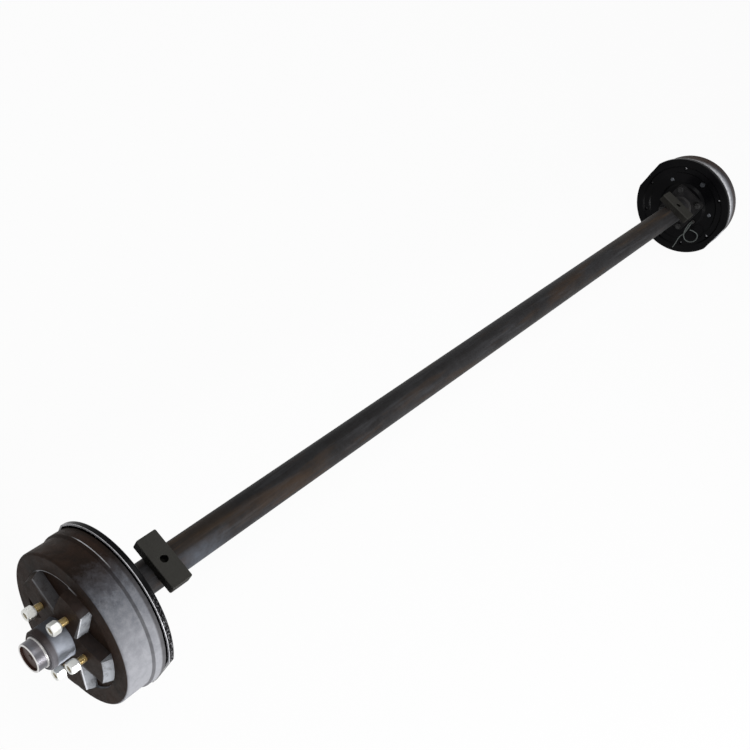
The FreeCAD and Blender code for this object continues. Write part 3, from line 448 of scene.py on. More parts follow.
castIron = {
    "dark": (0.015, 0.011, 0.009),
    "brown": (0.036, 0.021, 0.015),
    "blueGrey": (0.085, 0.090, 0.104),
    "pale": (0.255, 0.258, 0.275),
    "clean": (0.320, 0.335, 0.360),
    "barrelFront": (0.420, 0.450, 0.510),
    "silver": (0.680, 0.690, 0.720),
    "machined": (0.420, 0.420, 0.430),
    "roughness": 0.55,
    "uneven": (0.14, 0.09),
    "specular": 0.04,
    "patches": (15.0, 3.4, 0.50),
    "finePatches": (75.0, 3.4, 0.51),
    "grain": 520.0,
    "patchHeight": 0.8,
    "bump": (0.0006, 0.6),
    "armAngle": math.radians(23.5),
    "armPitch": math.radians(72.0),
    "armHalfWidth": 0.0236,
    "armEnd": (0.0992, 0.1079),
    # how the painted light on the front grows forward, and how the patches break its edge
    "front": {"growth": 14.0, "patches": 1.2, "start": 0.02},
    "paler": {"growth": 7.0, "patches": 0.45, "start": 0.20},
    "lit": {"growth": 26.0, "patches": 0.4},
    "forwardGain": 1.3,
    "litWallPatches": 0.45,
    "brightLinePatches": 0.25,
    "litSilverPatches": 0.35,
    "amounts": {"armPaintedShade": 0.9, "bright": 0.85, "barrelEnd": 0.75, "lipStep": 0.45,
                "lipBand": 0.65, "silver": 0.9, "leftSkin": 0.8},
    "turned": {"roughness": 0.28, "metallic": 0.9, "rings": 0.06},
    "zones": {
        "deepFace": {"Radius": (0.036, 0.135, 0.002), "Depth": (0.0042, 0.0060, 0.0003)},
        "rimFace": {"Radius": (0.1075, 0.1362, 0.0015), "Depth": (-0.001, 0.0012, 0.0004)},
        "armFace": {"Radius": (0.036, 0.1070, 0.0005), "Depth": (-0.0170, -0.0158, 0.0002)},
        "arms": {"Depth": (-0.0155, 0.0038, 0.0006)},
        "armSides": {"Radius": (0.044, 0.1075, 0.0005)},
        "armRoots": {"Radius": (0.040, 0.1075, 0.0005)},
        "armEdge": {"Depth": (-0.0165, -0.0140, 0.0008)},
        "ring": {"Radius": (0.1072, 0.1088, 0.0006), "Depth": (-0.001, 0.0026, 0.0006),
                 "Turn": (1.90, 2.72, 0.18)},
        "lines": {"Depth": (0.0520, 0.0530, 0.0005), "Radius": (0.138, 0.15, 0.0003),
                  "Turn": (1.83, 2.22, 0.15)},
        "barrel": {"Radius": (0.0, 0.0352, 0.0003), "Depth": (-0.06, -0.0155, 0.001)},
        "barrelEnd": {"Depth": (-0.0585, -0.0475, 0.004)},
        "lipStep": {"Depth": (0.0470, 0.0502, 0.0008)},
        "lipBand": {"Depth": (0.0655, 0.08, 0.003)},
        "left": {"Along": (0.0, 3.0, 0.01)},
        "inboardFront": {"Depth": (0.044, 0.08, 0.012), "Front": (0.0, 0.2, 0.10)},
        "outboard": {"Depth": (-0.02, 0.022, 0.006)},
        "bore": {"Radius": (0.12685, 0.1272, 0.0001), "Depth": (0.0145, 0.08, 0.0005)},
        "armature": {"Radius": (0.0675, 0.1003, 0.0002), "Depth": (0.0148, 0.0156, 0.0001)},
    },
}


def makeArmPlace(look):
    # How far a point is across the nearest of the flange's five arms.
    # Forward is how far the arm's wall on that side looks forward, from -1 to 1.
    outputs = [("Across", "NodeSocketFloat"), ("Forward", "NodeSocketFloat")]
    group, _, out = newGroup("armPlace", [], outputs)
    where = useGroup(group, placeGroup)
    pitch = look["armPitch"]
    steps = maths(group, "DIVIDE", maths(group, "SUBTRACT", where["Turn"], look["armAngle"]), pitch)
    nearest = maths(group, "ROUND", steps)
    turn = times(group, maths(group, "SUBTRACT", steps, nearest), pitch)
    across = times(group, where["Radius"], maths(group, "SINE", turn))
    armTurn = scaled(group, nearest, pitch, look["armAngle"])
    backward = times(group, maths(group, "SINE", armTurn), maths(group, "SIGN", across))
    group.links.new(maths(group, "ABSOLUTE", across), out.inputs["Across"])
    group.links.new(times(group, backward, -1.0), out.inputs["Forward"])
    return group


def makeCastIron(look):
    finish = Finish("castIron", look["blueGrey"], look["roughness"], specular=look["specular"])
    where = finish.where
    amounts = look["amounts"]
    patches = finish.mottle(*look["patches"])
    fine = finish.mottle(*look["finePatches"])
    grain = finish.grain(look["grain"])
    arm = useGroup(finish.tree, makeArmPlace(look))
    zones = {name: finish.zone(bands) for name, bands in look["zones"].items()}
    # painted shade and painted light: the casting's dark brown skin is kept on the side away from
    # the lamps, and the side facing them is painted blue-grey, paler towards the front
    given = look["front"]
    front = finish.scaled(where["Front"], given["growth"],
                          finish.times(patches["Height"], given["patches"]))
    front = finish.lifted(front, given["start"])
    skin = finish.mix(patches["Mask"], look["dark"], look["brown"])
    given = look["paler"]
    paler = finish.scaled(where["Front"], given["growth"],
                          finish.times(fine["Mask"], given["patches"]))
    paler = finish.maths("SUBTRACT", paler, given["start"], clamp=True)
    worn = finish.mix(paler, look["blueGrey"], look["pale"])
    body = finish.mix(front, skin, worn)
    # flat faces that look outboard are painted dark with the skin colour, a painted shade
    outboardShade = finish.most(zones["deepFace"], zones["rimFace"], zones["armFace"])
    body = finish.mix(outboardShade, body, skin)
    # the arms are painted dark as painted shade, and their walls and ends that face forward are
    # painted lighter as painted light
    onWall = finish.maths("GREATER_THAN", arm["Across"], look["armHalfWidth"])
    forward = finish.maths("MULTIPLY", arm["Forward"], look["forwardGain"], clamp=True)
    onWall = finish.times(onWall, zones["arms"], zones["armSides"], forward)
    endFrom, endTo = look["armEnd"]
    onEnd = finish.times(finish.maths("GREATER_THAN", where["Radius"], endFrom), zones["arms"],
                         finish.maths("LESS_THAN", where["Radius"], endTo),
                         finish.maths("DIVIDE", where["Front"], where["Radius"], clamp=True))
    armPaintedShade = finish.times(zones["arms"], zones["armRoots"], amounts["armPaintedShade"])
    body = finish.mix(armPaintedShade, body, skin)
    wall = finish.times(finish.most(onWall, onEnd), finish.lifted(fine["Mask"], look["litWallPatches"]))
    body = finish.mix(wall, body, look["clean"])
    # bright lines: the arms' edges, a painted highlight, the ring round the pocket and the
    # scratches near the lip
    edge = finish.times(onWall, zones["armEdge"])
    bright = finish.most(zones["ring"], edge, zones["lines"])
    bright = finish.times(bright, finish.lifted(patches["Mask"], look["brightLinePatches"]),
                          amounts["bright"])
    body = finish.mix(bright, body, look["silver"])
    # the barrel is blue-grey, painted lighter on its front side as painted light, and browner
    # towards its outer end
    given = look["lit"]
    lit = finish.scaled(where["Front"], given["growth"],
                        finish.times(patches["Height"], given["patches"]), clamp=True)
    body = finish.mix(zones["barrel"], body, finish.mix(lit, look["blueGrey"], look["barrelFront"]))
    barrelEnd = finish.times(zones["barrel"], zones["barrelEnd"], amounts["barrelEnd"])
    body = finish.mix(barrelEnd, body, look["brown"])
    # the step before the lip band and the band's inboard edge are dark
    lip = finish.scaled(zones["lipStep"], amounts["lipStep"],
                        finish.times(zones["lipBand"], amounts["lipBand"]), clamp=True)
    body = finish.mix(lip, body, look["dark"])
    # the left-hand drum is painted bright at the inboard front, a painted light, and brown outboard
    silver = finish.times(zones["inboardFront"], zones["left"],
                          finish.lifted(fine["Mask"], look["litSilverPatches"]), amounts["silver"])
    body = finish.mix(silver, body, look["silver"])
    leftSkin = finish.times(zones["outboard"], zones["left"], amounts["leftSkin"])
    body = finish.mix(leftSkin, body, skin)
    # turned faces inside the drum
    turned = finish.most(zones["bore"], zones["armature"])
    body = finish.mix(turned, body, look["machined"])
    finish.set("Base Color", body)
    rough = finish.unevenRoughness(fine["Mask"], look["uneven"])
    finish.set("Roughness", finish.mixValue(turned, rough, look["turned"]["roughness"]))
    finish.set("Metallic", finish.times(turned, look["turned"]["metallic"]))
    height = finish.scaled(patches["Height"], look["patchHeight"], grain["Height"])
    rings = useGroup(finish.tree, latheGroup, {"Radius": where["Radius"], "Depth": where["Depth"]})
    rings = finish.times(rings["Height"], look["turned"]["rings"])
    finish.bump(finish.mixValue(turned, height, rings), *look["bump"])
    return finish.material


# Mill-scaled tube

tubeSteel = {
    "scale": (0.014, 0.013, 0.013),
    "rubbed": (0.052, 0.053, 0.057),
    "brown": (0.044, 0.027, 0.016),
    "gold": (0.050, 0.032, 0.018),
    "blue": (0.060, 0.066, 0.078),
    "roughness": 0.50,
    "uneven": (0.30, 0.14),
    "specular": 0.05,
    "patches": (11.0, 3.0, 0.52),
    "rubs": (95.0, 14.0, 0.50, 4.5),
    "rust": (28.0, 7.0, 0.53, 7.0),
    "amounts": {"patches": 0.35, "rubs": 0.6, "rust": 0.55},
    "stainWear": 0.25,
    "bluishHighlightPatches": 0.15,
    "rubHeight": 0.6,
    "bump": (0.0005, 0.4),
    "zones": {
        "top": {"Up": (0.022, 0.05, 0.010), "Front": (-0.05, -0.004, 0.012)},
        "leftEnd": {"Along": (0.70, 0.93, 0.10)},
        "rightEnd": {"Along": (-0.96, -0.86, 0.05)},
        # the bluish patch here is a painted highlight
        "bare": {"Along": (-0.94, -0.90, 0.05), "Front": (0.012, 0.05, 0.008)},
    },
}


def makeTubeSteel(look):
    finish = Finish("tubeSteel", look["scale"], look["roughness"], specular=look["specular"])
    amounts = look["amounts"]
    patches = finish.mottle(*look["patches"])
    rubs = finish.streaks(*look["rubs"])
    rust = finish.streaks(*look["rust"])
    zones = {name: finish.zone(bands) for name, bands in look["zones"].items()}
    rubbed = finish.times(patches["Mask"], amounts["patches"])
    body = finish.mix(rubbed, look["scale"], look["rubbed"])
    body = finish.mix(finish.times(rubs["Mask"], amounts["rubs"]), body, look["rubbed"])
    body = finish.mix(finish.times(rust["Mask"], amounts["rust"]), body, look["brown"])
    # browner along the top at both ends, and a bluish painted highlight just inboard of the
    # right-hand seat
    stain = finish.times(zones["top"], finish.most(zones["leftEnd"], zones["rightEnd"]),
                         finish.lifted(rubs["Mask"], look["stainWear"]))
    body = finish.mix(stain, body, look["gold"])
    bare = finish.times(zones["bare"], finish.lifted(patches["Mask"], look["bluishHighlightPatches"]))
    body = finish.mix(bare, body, look["blue"])
    finish.set("Base Color", body)
    finish.set("Roughness", finish.unevenRoughness(rubs["Height"], look["uneven"]))
    height = finish.scaled(rubs["Height"], look["rubHeight"], patches["Height"])
    finish.bump(height, *look["bump"])
    return finish.material


# Spring seats and their weld beads

seatBottom = 0.0285

seatSteel = {
    "skin": (0.022, 0.0215, 0.019),
    "worn": (0.054, 0.053, 0.048),
    "dark": (0.011, 0.010, 0.009),
    "weld": (0.040, 0.038, 0.037),
    "roughness": 0.55,
    "uneven": (0.15, 0.08),
    "specular": 0.03,
    "patches": (38.0, 2.6, 0.50),
    "scratches": (150.0, 0.25, 0.58, 6.0),
    "grain": 600.0,
    "amounts": {"top": 0.45, "scratches": 0.35, "edge": 0.5},
    "top": (0.0475, 0.06, 0.001),
    "edge": (0.0466, 0.0482, 0.0004),
    "aboveWeld": (seatBottom - 0.0004, 0.06, 0.0002),
    "ripplePitch": 0.0032,
    "rippleHeight": 1.6,
    "bump": (0.0006, 0.5),
}


def makeSeatSteel(look):
    finish = Finish("seatSteel", look["skin"], look["roughness"], specular=look["specular"])
    amounts = look["amounts"]
    patches = finish.mottle(*look["patches"])
    scratches = finish.streaks(*look["scratches"])
    grain = finish.grain(look["grain"])
    worn = {"top": finish.band("Up", *look["top"]), "scratches": scratches["Mask"],
            "edge": finish.band("Up", *look["edge"])}
    body = finish.mix(patches["Mask"], look["dark"], look["skin"])
    for name, mask in worn.items():
        body = finish.mix(finish.times(mask, amounts[name]), body, look["worn"])
    welded = finish.maths("SUBTRACT", 1.0, finish.band("Up", *look["aboveWeld"]))
    body = finish.mix(welded, body, look["weld"])
    finish.set("Base Color", body)
    finish.set("Roughness", finish.unevenRoughness(patches["Mask"], look["uneven"]))
    phase = finish.maths("DIVIDE", finish.where["Along"], look["ripplePitch"])
    phase = finish.times(phase, math.pi)
    ripple = finish.maths("ABSOLUTE", finish.maths("SINE", phase))
    height = finish.maths("ADD", grain["Height"], patches["Height"])
    height = finish.mixValue(welded, height, finish.times(ripple, look["rippleHeight"]))
    finish.bump(height, *look["bump"])
    return finish.material


# Gloss black backing plates, chipped at the rim

glossBlack = {
    "paint": (0.0022, 0.0022, 0.0026),
    "thin": (0.006, 0.0055, 0.006),
    "rubbed": (0.060, 0.064, 0.072),
    "bare": (0.560, 0.560, 0.580),
    "roughness": 0.17,
    "uneven": (0.10, 0.0),
    "bareRoughness": 0.45,
    "bareMetallic": 0.5,
    "specular": 0.04,
    "orangePeel": (90.0, 2.2, 0.50),
    "chips": (330.0, 12.0, 0.575),
    "patches": (14.0, 3.0, 0.55),
    "amounts": {"thin": 0.5, "chips": 0.45, "edge": 0.9},
    "edgeWear": 0.55,
    "bareDepth": 0.8,
    "bump": (0.0003, 0.35),
    "rim": (0.1405, 0.2, 0.0015),
    "rimFront": {"Front": (0.085, 0.2, 0.04), "Turn": (-0.12, 1.2, 0.15)},
    "edge": (0.0720, 0.0736, 0.0003),
    "rightEnd": (-3.0, 0.0, 0.01),
    # each dimple's angle, and how strong its painted highlight is
    "dimples": ((126.0, 0.9), (-7.0, 0.8), (54.0, 0.7), (187.0, 0.15), (-50.0, 0.35), (230.0, 0.1)),
    "dimpleRadius": 0.1188,
    "dimpleSize": 0.0032,
    "dimpleSoft": 0.001,
}


def makeGlossBlack(look):
    finish = Finish("glossBlack", look["paint"], look["roughness"], specular=look["specular"])
    amounts = look["amounts"]
    orangePeel = finish.mottle(*look["orangePeel"])
    chips = finish.mottle(*look["chips"])
    patches = finish.mottle(*look["patches"])
    body = finish.mix(finish.times(patches["Mask"], amounts["thin"]), look["paint"], look["thin"])
    # the right-hand plate has a thin chipped line round the outboard edge and a speckled rim
    rim = finish.band("Radius", *look["rim"])
    chipped = finish.times(rim, finish.zone(look["rimFront"]), chips["Mask"], amounts["chips"])
    edge = finish.times(finish.band("Depth", *look["edge"]),
                        finish.lifted(patches["Mask"], look["edgeWear"]), amounts["edge"])
    bare = finish.times(finish.most(chipped, edge), finish.band("Along", *look["rightEnd"]))
    # the shoes' dimples get a painted highlight in the middle, some brighter than others
    for angle, amount in look["dimples"]:
        turn = math.radians(angle)
        radius = look["dimpleRadius"]
        apart = finish.apart(radius * math.cos(turn), radius * math.sin(turn))
        inside = finish.maths("SUBTRACT", look["dimpleSize"], apart)
        spot = finish.maths("DIVIDE", inside, look["dimpleSoft"], clamp=True)
        bare = finish.most(bare, finish.times(spot, amount))
    body = finish.mix(bare, body, look["bare"])
    finish.set("Base Color", body)
    finish.set("Metallic", finish.times(bare, look["bareMetallic"]))
    rough = finish.unevenRoughness(patches["Mask"], look["uneven"])
    finish.set("Roughness", finish.mixValue(bare, rough, look["bareRoughness"]))
    height = finish.maths("SUBTRACT", orangePeel["Height"], finish.times(bare, look["bareDepth"]))
    finish.bump(height, *look["bump"])
    return finish.material


# Plain finishes, each with its own grain

plainFinishes = {
    "zincPlate": {
        "colour": (0.860, 0.865, 0.830), "second": (0.640, 0.660, 0.660),
        "roughness": 0.30, "metallic": 0.55, "scale": 60.0, "bump": 0.00008, "amount": 0.35,
    },
    "yellowZinc": {
        "colour": (0.500, 0.370, 0.160), "second": (0.300, 0.250, 0.150),
        "roughness": 0.30, "metallic": 0.90, "scale": 80.0, "bump": 0.00010, "amount": 0.60,
    },
    "machinedSteel": {
        "colour": (0.560, 0.560, 0.570), "second": (0.380, 0.375, 0.370),
        "roughness": 0.30, "metallic": 1.00, "scale": 45.0, "bump": 0.00010, "amount": 0.50,
    },
    "pinSteel": {
        "colour": (0.700, 0.700, 0.680), "second": (0.480, 0.490, 0.490),
        "roughness": 0.32, "metallic": 0.70, "scale": 60.0, "bump": 0.00008, "amount": 0.40,
        "painted": (0.0766, 0.2, 0.0002),
    },
    "bearingSteel": {
        "colour": (0.640, 0.640, 0.650), "second": (0.480, 0.480, 0.490),
        "roughness": 0.18, "metallic": 1.00, "scale": 50.0, "bump": 0.00005, "amount": 0.35,
    },
    "blackSteel": {
        "colour": (0.012, 0.012, 0.013), "second": (0.045, 0.043, 0.042),
        "roughness": 0.38, "metallic": 0.00, "specular": 0.15,
        "scale": 42.0, "bump": 0.00030, "amount": 0.50,
    },
    "shoeSteel": {
        "colour": (0.022, 0.022, 0.024), "second": (0.060, 0.056, 0.052),
        "roughness": 0.38, "metallic": 0.05, "scale": 50.0, "bump": 0.00020, "amount": 0.40,
    },
    "darkRubber": {
        "colour": (0.017, 0.016, 0.016), "second": (0.040, 0.037, 0.035),
        "roughness": 0.72, "metallic": 0.00, "specular": 0.15,
        "scale": 90.0, "bump": 0.00020, "amount": 0.50,
    },
    "magnetFace": {
        "colour": (0.180, 0.180, 0.185), "second": (0.300, 0.300, 0.300),
        "roughness": 0.42, "metallic": 0.60, "scale": 70.0, "bump": 0.00020, "amount": 0.50,
    },
}

plainShared = {
    "specular": 0.5,
    "contrast": 2.4,
    "level": 0.50,
    "grain": 900.0,
    "uneven": (0.12, 0.04),
    "bumpStrength": 0.6,
}


def makePlain(name, look):
    shared = plainShared
    finish = Finish(name, look["colour"], look["roughness"], look["metallic"],
                    look.get("specular", shared["specular"]))
    patches = finish.mottle(look["scale"], shared["contrast"], shared["level"])
    grain = finish.grain(shared["grain"])
    body = finish.mix(finish.times(patches["Mask"], look["amount"]), look["colour"], look["second"])
    if "painted" in look:
        # the ends behind the backing plate are painted with it
        body = finish.mix(finish.band("Depth", *look["painted"]), body, glossBlack["rubbed"])
    finish.set("Base Color", body)
    finish.set("Roughness", finish.unevenRoughness(patches["Mask"], shared["uneven"]))
    height = finish.maths("ADD", grain["Height"], patches["Height"])
    finish.bump(height, look["bump"], shared["bumpStrength"])
    return finish.material


# Pressed grease cap: dull steel, a painted highlight on the lip and bead, and a dark brown recess
# that is partly grease and partly painted shade

capSteel = {
    "colour": (0.125, 0.128, 0.146),
    "brown": (0.070, 0.043, 0.030),
    "bright": (0.700, 0.690, 0.680),
    "recess": (0.060, 0.024, 0.015),
    "roughness": 0.36,
    "uneven": (0.15, 0.08),
    "metallic": 0.75,
    "recessMetallicLoss": 0.65,
    "patches": (55.0, 3.0, 0.50),
    "amounts": {"brown": 0.45, "bead": 0.75},
    "bump": (0.0003, 0.4),
    "lip": (-0.0765, -0.0752, 0.0004),
    "bead": (-0.0598, -0.0568, 0.0003),
    "recessRadius": (0.0, 0.0219, 0.0002),
}


def makeCapSteel(look):
    finish = Finish("capSteel", look["colour"], look["roughness"], metallic=look["metallic"])
    amounts = look["amounts"]
    patches = finish.mottle(*look["patches"])
    browned = finish.times(patches["Mask"], amounts["brown"])
    body = finish.mix(browned, look["colour"], look["brown"])
    # the lip and bead are painted bright, a painted highlight
    bead = finish.times(finish.band("Depth", *look["bead"]), amounts["bead"])
    body = finish.mix(finish.most(finish.band("Depth", *look["lip"]), bead), body, look["bright"])
    # the recess is painted dark brown: grease, and painted shade inside the cap
    inside = finish.band("Radius", *look["recessRadius"])
    finish.set("Base Color", finish.mix(inside, body, look["recess"]))
    loss = finish.times(inside, look["recessMetallicLoss"])
    finish.set("Metallic", finish.maths("SUBTRACT", look["metallic"], loss))
    finish.set("Roughness", finish.unevenRoughness(patches["Mask"], look["uneven"]))
    finish.bump(patches["Height"], *look["bump"])
    return finish.material


# The plug's reddish rubber, seen deep in the cap

plugRubber = {
    "colour": (0.050, 0.020, 0.014),
    "dirt": (0.110, 0.075, 0.060),
    "roughness": 0.62,
    "uneven": (0.2, 0.12),
    "specular": 0.5,
    "patches": (120.0, 3.0, 0.52),
    "amount": 0.5,
    "bump": (0.0002, 0.5),
}


# Lead wires' insulation

leadSleeve = {
    "colour": (0.075, 0.085, 0.082),
    "dirt": (0.035, 0.034, 0.030),
    "roughness": 0.42,
    "uneven": (0.25, 0.08),
    "specular": 0.15,
    "patches": (150.0, 3.5, 0.53),
    "amount": 0.6,
    "bump": (0.0001, 0.4),
}


def makeDusty(name, look):
    finish = Finish(name, look["colour"], look["roughness"], specular=look["specular"])
    patches = finish.mottle(*look["patches"])
    dirty = finish.times(patches["Mask"], look["amount"])
    finish.set("Base Color", finish.mix(dirty, look["colour"], look["dirt"]))
    finish.set("Roughness", finish.unevenRoughness(patches["Mask"], look["uneven"]))
    finish.bump(patches["Height"], *look["bump"])
    return finish.material


# Moulded friction lining, with brassy flecks

frictionLining = {
    "colour": (0.120, 0.100, 0.082),
    "second": (0.200, 0.170, 0.135),
    "fleck": (0.420, 0.330, 0.180),
    "roughness": 0.78,
    "patches": (110.0, 3.0, 0.50),
    "grain": 700.0,
    "fleckAmount": 0.7,
    "bump": (0.0003, 0.7),
}


def makeLining(look):
    finish = Finish("frictionLining", look["colour"], look["roughness"])
    patches = finish.mottle(*look["patches"])
    grain = finish.grain(look["grain"])
    body = finish.mix(patches["Mask"], look["colour"], look["second"])
    flecks = finish.times(grain["Pits"], look["fleckAmount"])
    finish.set("Base Color", finish.mix(flecks, body, look["fleck"]))
    finish.bump(grain["Height"], *look["bump"])
    return finish.material


# Brake flange: black, with a rippled weld round the tube

brakeFlange = {
    "paint": (0.009, 0.009, 0.010),
    "rubbed": (0.034, 0.032, 0.031),
    "weld": (0.028, 0.027, 0.027),
    "roughness": 0.42,
    "uneven": (0.15, 0.06),
    "specular": 0.05,
    "patches": (46.0, 3.0, 0.52),
    "grain": 620.0,
    "amount": 0.5,
    "welded": (0.0922, 0.12, 0.0002),
    "ripples": 46.0,
    "rippleHeight": 1.8,
    "bump": (0.0006, 0.5),
}


def makeBrakeFlange(look):
    finish = Finish("flangeSteel", look["paint"], look["roughness"], specular=look["specular"])
    patches = finish.mottle(*look["patches"])
    grain = finish.grain(look["grain"])
    body = finish.mix(finish.times(patches["Mask"], look["amount"]), look["paint"], look["rubbed"])
    welded = finish.band("Depth", *look["welded"])
    finish.set("Base Color", finish.mix(welded, body, look["weld"]))
    finish.set("Roughness", finish.unevenRoughness(patches["Mask"], look["uneven"]))
    phase = finish.times(finish.where["Turn"], look["ripples"] / 2)
    ripple = finish.maths("ABSOLUTE", finish.maths("SINE", phase))
    height = finish.maths("ADD", grain["Height"], patches["Height"])
    height = finish.mixValue(welded, height, finish.times(ripple, look["rippleHeight"]))
    finish.bump(height, *look["bump"])
    return finish.material


finishes = {name: makePlain(name, look) for name, look in plainFinishes.items()}
finishes["castIron"] = makeCastIron(castIron)
finishes["tubeSteel"] = makeTubeSteel(tubeSteel)
finishes["seatSteel"] = makeSeatSteel(seatSteel)
finishes["glossBlack"] = makeGlossBlack(glossBlack)
finishes["capSteel"] = makeCapSteel(capSteel)
finishes["plugRubber"] = makeDusty("plugRubber", plugRubber)
finishes["frictionLining"] = makeLining(frictionLining)
finishes["leadSleeve"] = makeDusty("leadSleeve", leadSleeve)
finishes["flangeSteel"] = makeBrakeFlange(brakeFlange)
print("finishes made", len(finishes))


# Which finish each node wears, on both ends

nodeFinishes = {
    "spindle": "machinedSteel",
    "brake_flange": "flangeSteel",
    "spring_seat": "seatSteel",
    "backing_plate": "glossBlack",
    "flange_bolts": "blackSteel",
    "anchor_post": "pinSteel",
    "thrust_washer": "machinedSteel",
    "spindle_nut": "machinedSteel",
    "cotter_pin": "zincPlate",
    "bearing_cones": "bearingSteel",
    "bearing_rollers": "bearingSteel",
    "bearing_cups": "bearingSteel",
    "grease_seal": "darkRubber",
    "hub_drum": "castIron",
    "wheel_studs": "yellowZinc",
    "wheel_nuts": "zincPlate",
    "grease_cap": "capSteel",
    "cap_plug": "plugRubber",
    "hold_downs": "pinSteel",
    "adjuster_sockets": "zincPlate",
    "adjuster_wheel": "zincPlate",
    "rubber_plugs": "darkRubber",
    "primary_shoe": "shoeSteel",
    "primary_lining": "frictionLining",
    "secondary_shoe": "shoeSteel",
    "secondary_lining": "frictionLining",
    "shoe_springs": "zincPlate",
    "magnet_lever": "shoeSteel",
    "magnet": "magnetFace",
}


def dress(piece, finish):
    if not piece.material_slots:
        piece.data.materials.append(finish)
    for slot in piece.material_slots:
        slot.material = finish


dress(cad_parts["axle_tube"], finishes["tubeSteel"])
for side in ("right", "left"):
    for label, name in nodeFinishes.items():
        dress(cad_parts[side + "_" + label], finishes[name])
for lead in leads:
    dress(lead, finishes["leadSleeve"])
print("nodes dressed")


# Threaded wheel studs, by geometry nodes: one stud with its thread, set round the hub's circle

wheelStuds = {
    "Count": 5,
    "Circle Radius": 0.05715,
    "First Angle": castIron["armAngle"],
    "Stud Radius": 0.00635,
    "Thread Depth": 0.00062,
    "Pitch": 0.00127,
    "Thread Start": 0.0162,
    "Stud End": 0.0425,
    "Head Face": 0.0110,
    "Head Radius": 0.0090,
    "Head Thickness": 0.0030,
}

# the crest and the ridge are shares of the thread's depth
threadShape = {
    "sides": 32,
    "steps": 20,
    "ridgeSides": 3,
    "crest": 0.62,
    "ridge": 0.80,
}


def makeStudTree(shape):
    tree = bpy.data.node_groups.new("threadedStuds", "GeometryNodeTree")
    for label, value in wheelStuds.items():
        kind = "NodeSocketInt" if isinstance(value, int) else "NodeSocketFloat"
        tree.interface.new_socket(label, in_out="INPUT", socket_type=kind).default_value = value
    tree.interface.new_socket("Finish", in_out="INPUT", socket_type="NodeSocketMaterial")
    tree.interface.new_socket("Geometry", in_out="OUTPUT", socket_type="NodeSocketGeometry")
    given = {socket.name: socket for socket in tree.nodes.new("NodeGroupInput").outputs}
    out = tree.nodes.new("NodeGroupOutput")

    def raised(solid, height):
        lift = addNode(tree, "ShaderNodeCombineXYZ", {2: height}).outputs[0]
        moved = {"Geometry": solid, "Translation": lift}
        return addNode(tree, "GeometryNodeTransform", moved).outputs[0]

    def bar(radius, low, high):
        # A bar along Z between two heights.
        length = maths(tree, "SUBTRACT", high, low)
        middle = times(tree, maths(tree, "ADD", high, low), 0.5)
        size = {"Vertices": shape["sides"], "Radius": radius, "Depth": length}
        solid = addNode(tree, "GeometryNodeMeshCylinder", size).outputs["Mesh"]
        return raised(solid, middle)

    # the thread is a sharp ridge wound round the core, half a pitch clear of either end
    core = maths(tree, "SUBTRACT", given["Stud Radius"], given["Thread Depth"])
    threaded = maths(tree, "SUBTRACT", given["Stud End"], given["Thread Start"])
    shortened = maths(tree, "SUBTRACT", threaded, given["Pitch"])
    turns = maths(tree, "DIVIDE", shortened, given["Pitch"])
    sunk = times(tree, given["Thread Depth"], shape["crest"])
    crest = maths(tree, "SUBTRACT", given["Stud Radius"], sunk)
    helix = addNode(tree, "GeometryNodeCurveSpiral", {
        "Resolution": shape["steps"], "Rotations": turns, "Start Radius": crest,
        "End Radius": crest, "Height": shortened,
    })
    ridge = addNode(tree, "GeometryNodeCurvePrimitiveCircle", {
        "Resolution": shape["ridgeSides"],
        "Radius": times(tree, given["Thread Depth"], shape["ridge"]),
    })
    wound = {"Curve": helix.outputs[0], "Profile Curve": ridge.outputs[0], "Fill Caps": True}
    thread = addNode(tree, "GeometryNodeCurveToMesh", wound).outputs[0]
    rise = maths(tree, "ADD", given["Thread Start"], times(tree, given["Pitch"], 0.5))
    headEnd = times(tree, maths(tree, "ADD", given["Head Face"], given["Head Thickness"]), -1.0)
    headFace = times(tree, given["Head Face"], -1.0)
    shankEnd = given["Thread Start"]
    pieces = [
        bar(core, shankEnd, given["Stud End"]),
        bar(given["Stud Radius"], headFace, shankEnd),
        bar(given["Head Radius"], headEnd, headFace),
        raised(thread, rise),
    ]
    stud = tree.nodes.new("GeometryNodeJoinGeometry")
    for piece in pieces:
        tree.links.new(piece, stud.inputs[0])
    ring = {"Vertices": given["Count"], "Radius": given["Circle Radius"]}
    circle = addNode(tree, "GeometryNodeMeshCircle", ring).outputs["Mesh"]
    spin = addNode(tree, "ShaderNodeCombineXYZ", {2: given["First Angle"]}).outputs[0]
    turned = {"Geometry": circle, "Rotation": spin}
    spots = addNode(tree, "GeometryNodeTransform", turned).outputs[0]
    spread = {"Points": spots, "Instance": stud.outputs[0]}
    studs = addNode(tree, "GeometryNodeInstanceOnPoints", spread).outputs[0]
    real = addNode(tree, "GeometryNodeRealizeInstances", {0: studs}).outputs[0]
    worn = {"Geometry": real, "Material": given["Finish"]}
    tree.links.new(addNode(tree, "GeometryNodeSetMaterial", worn).outputs[0], out.inputs[0])
    return tree


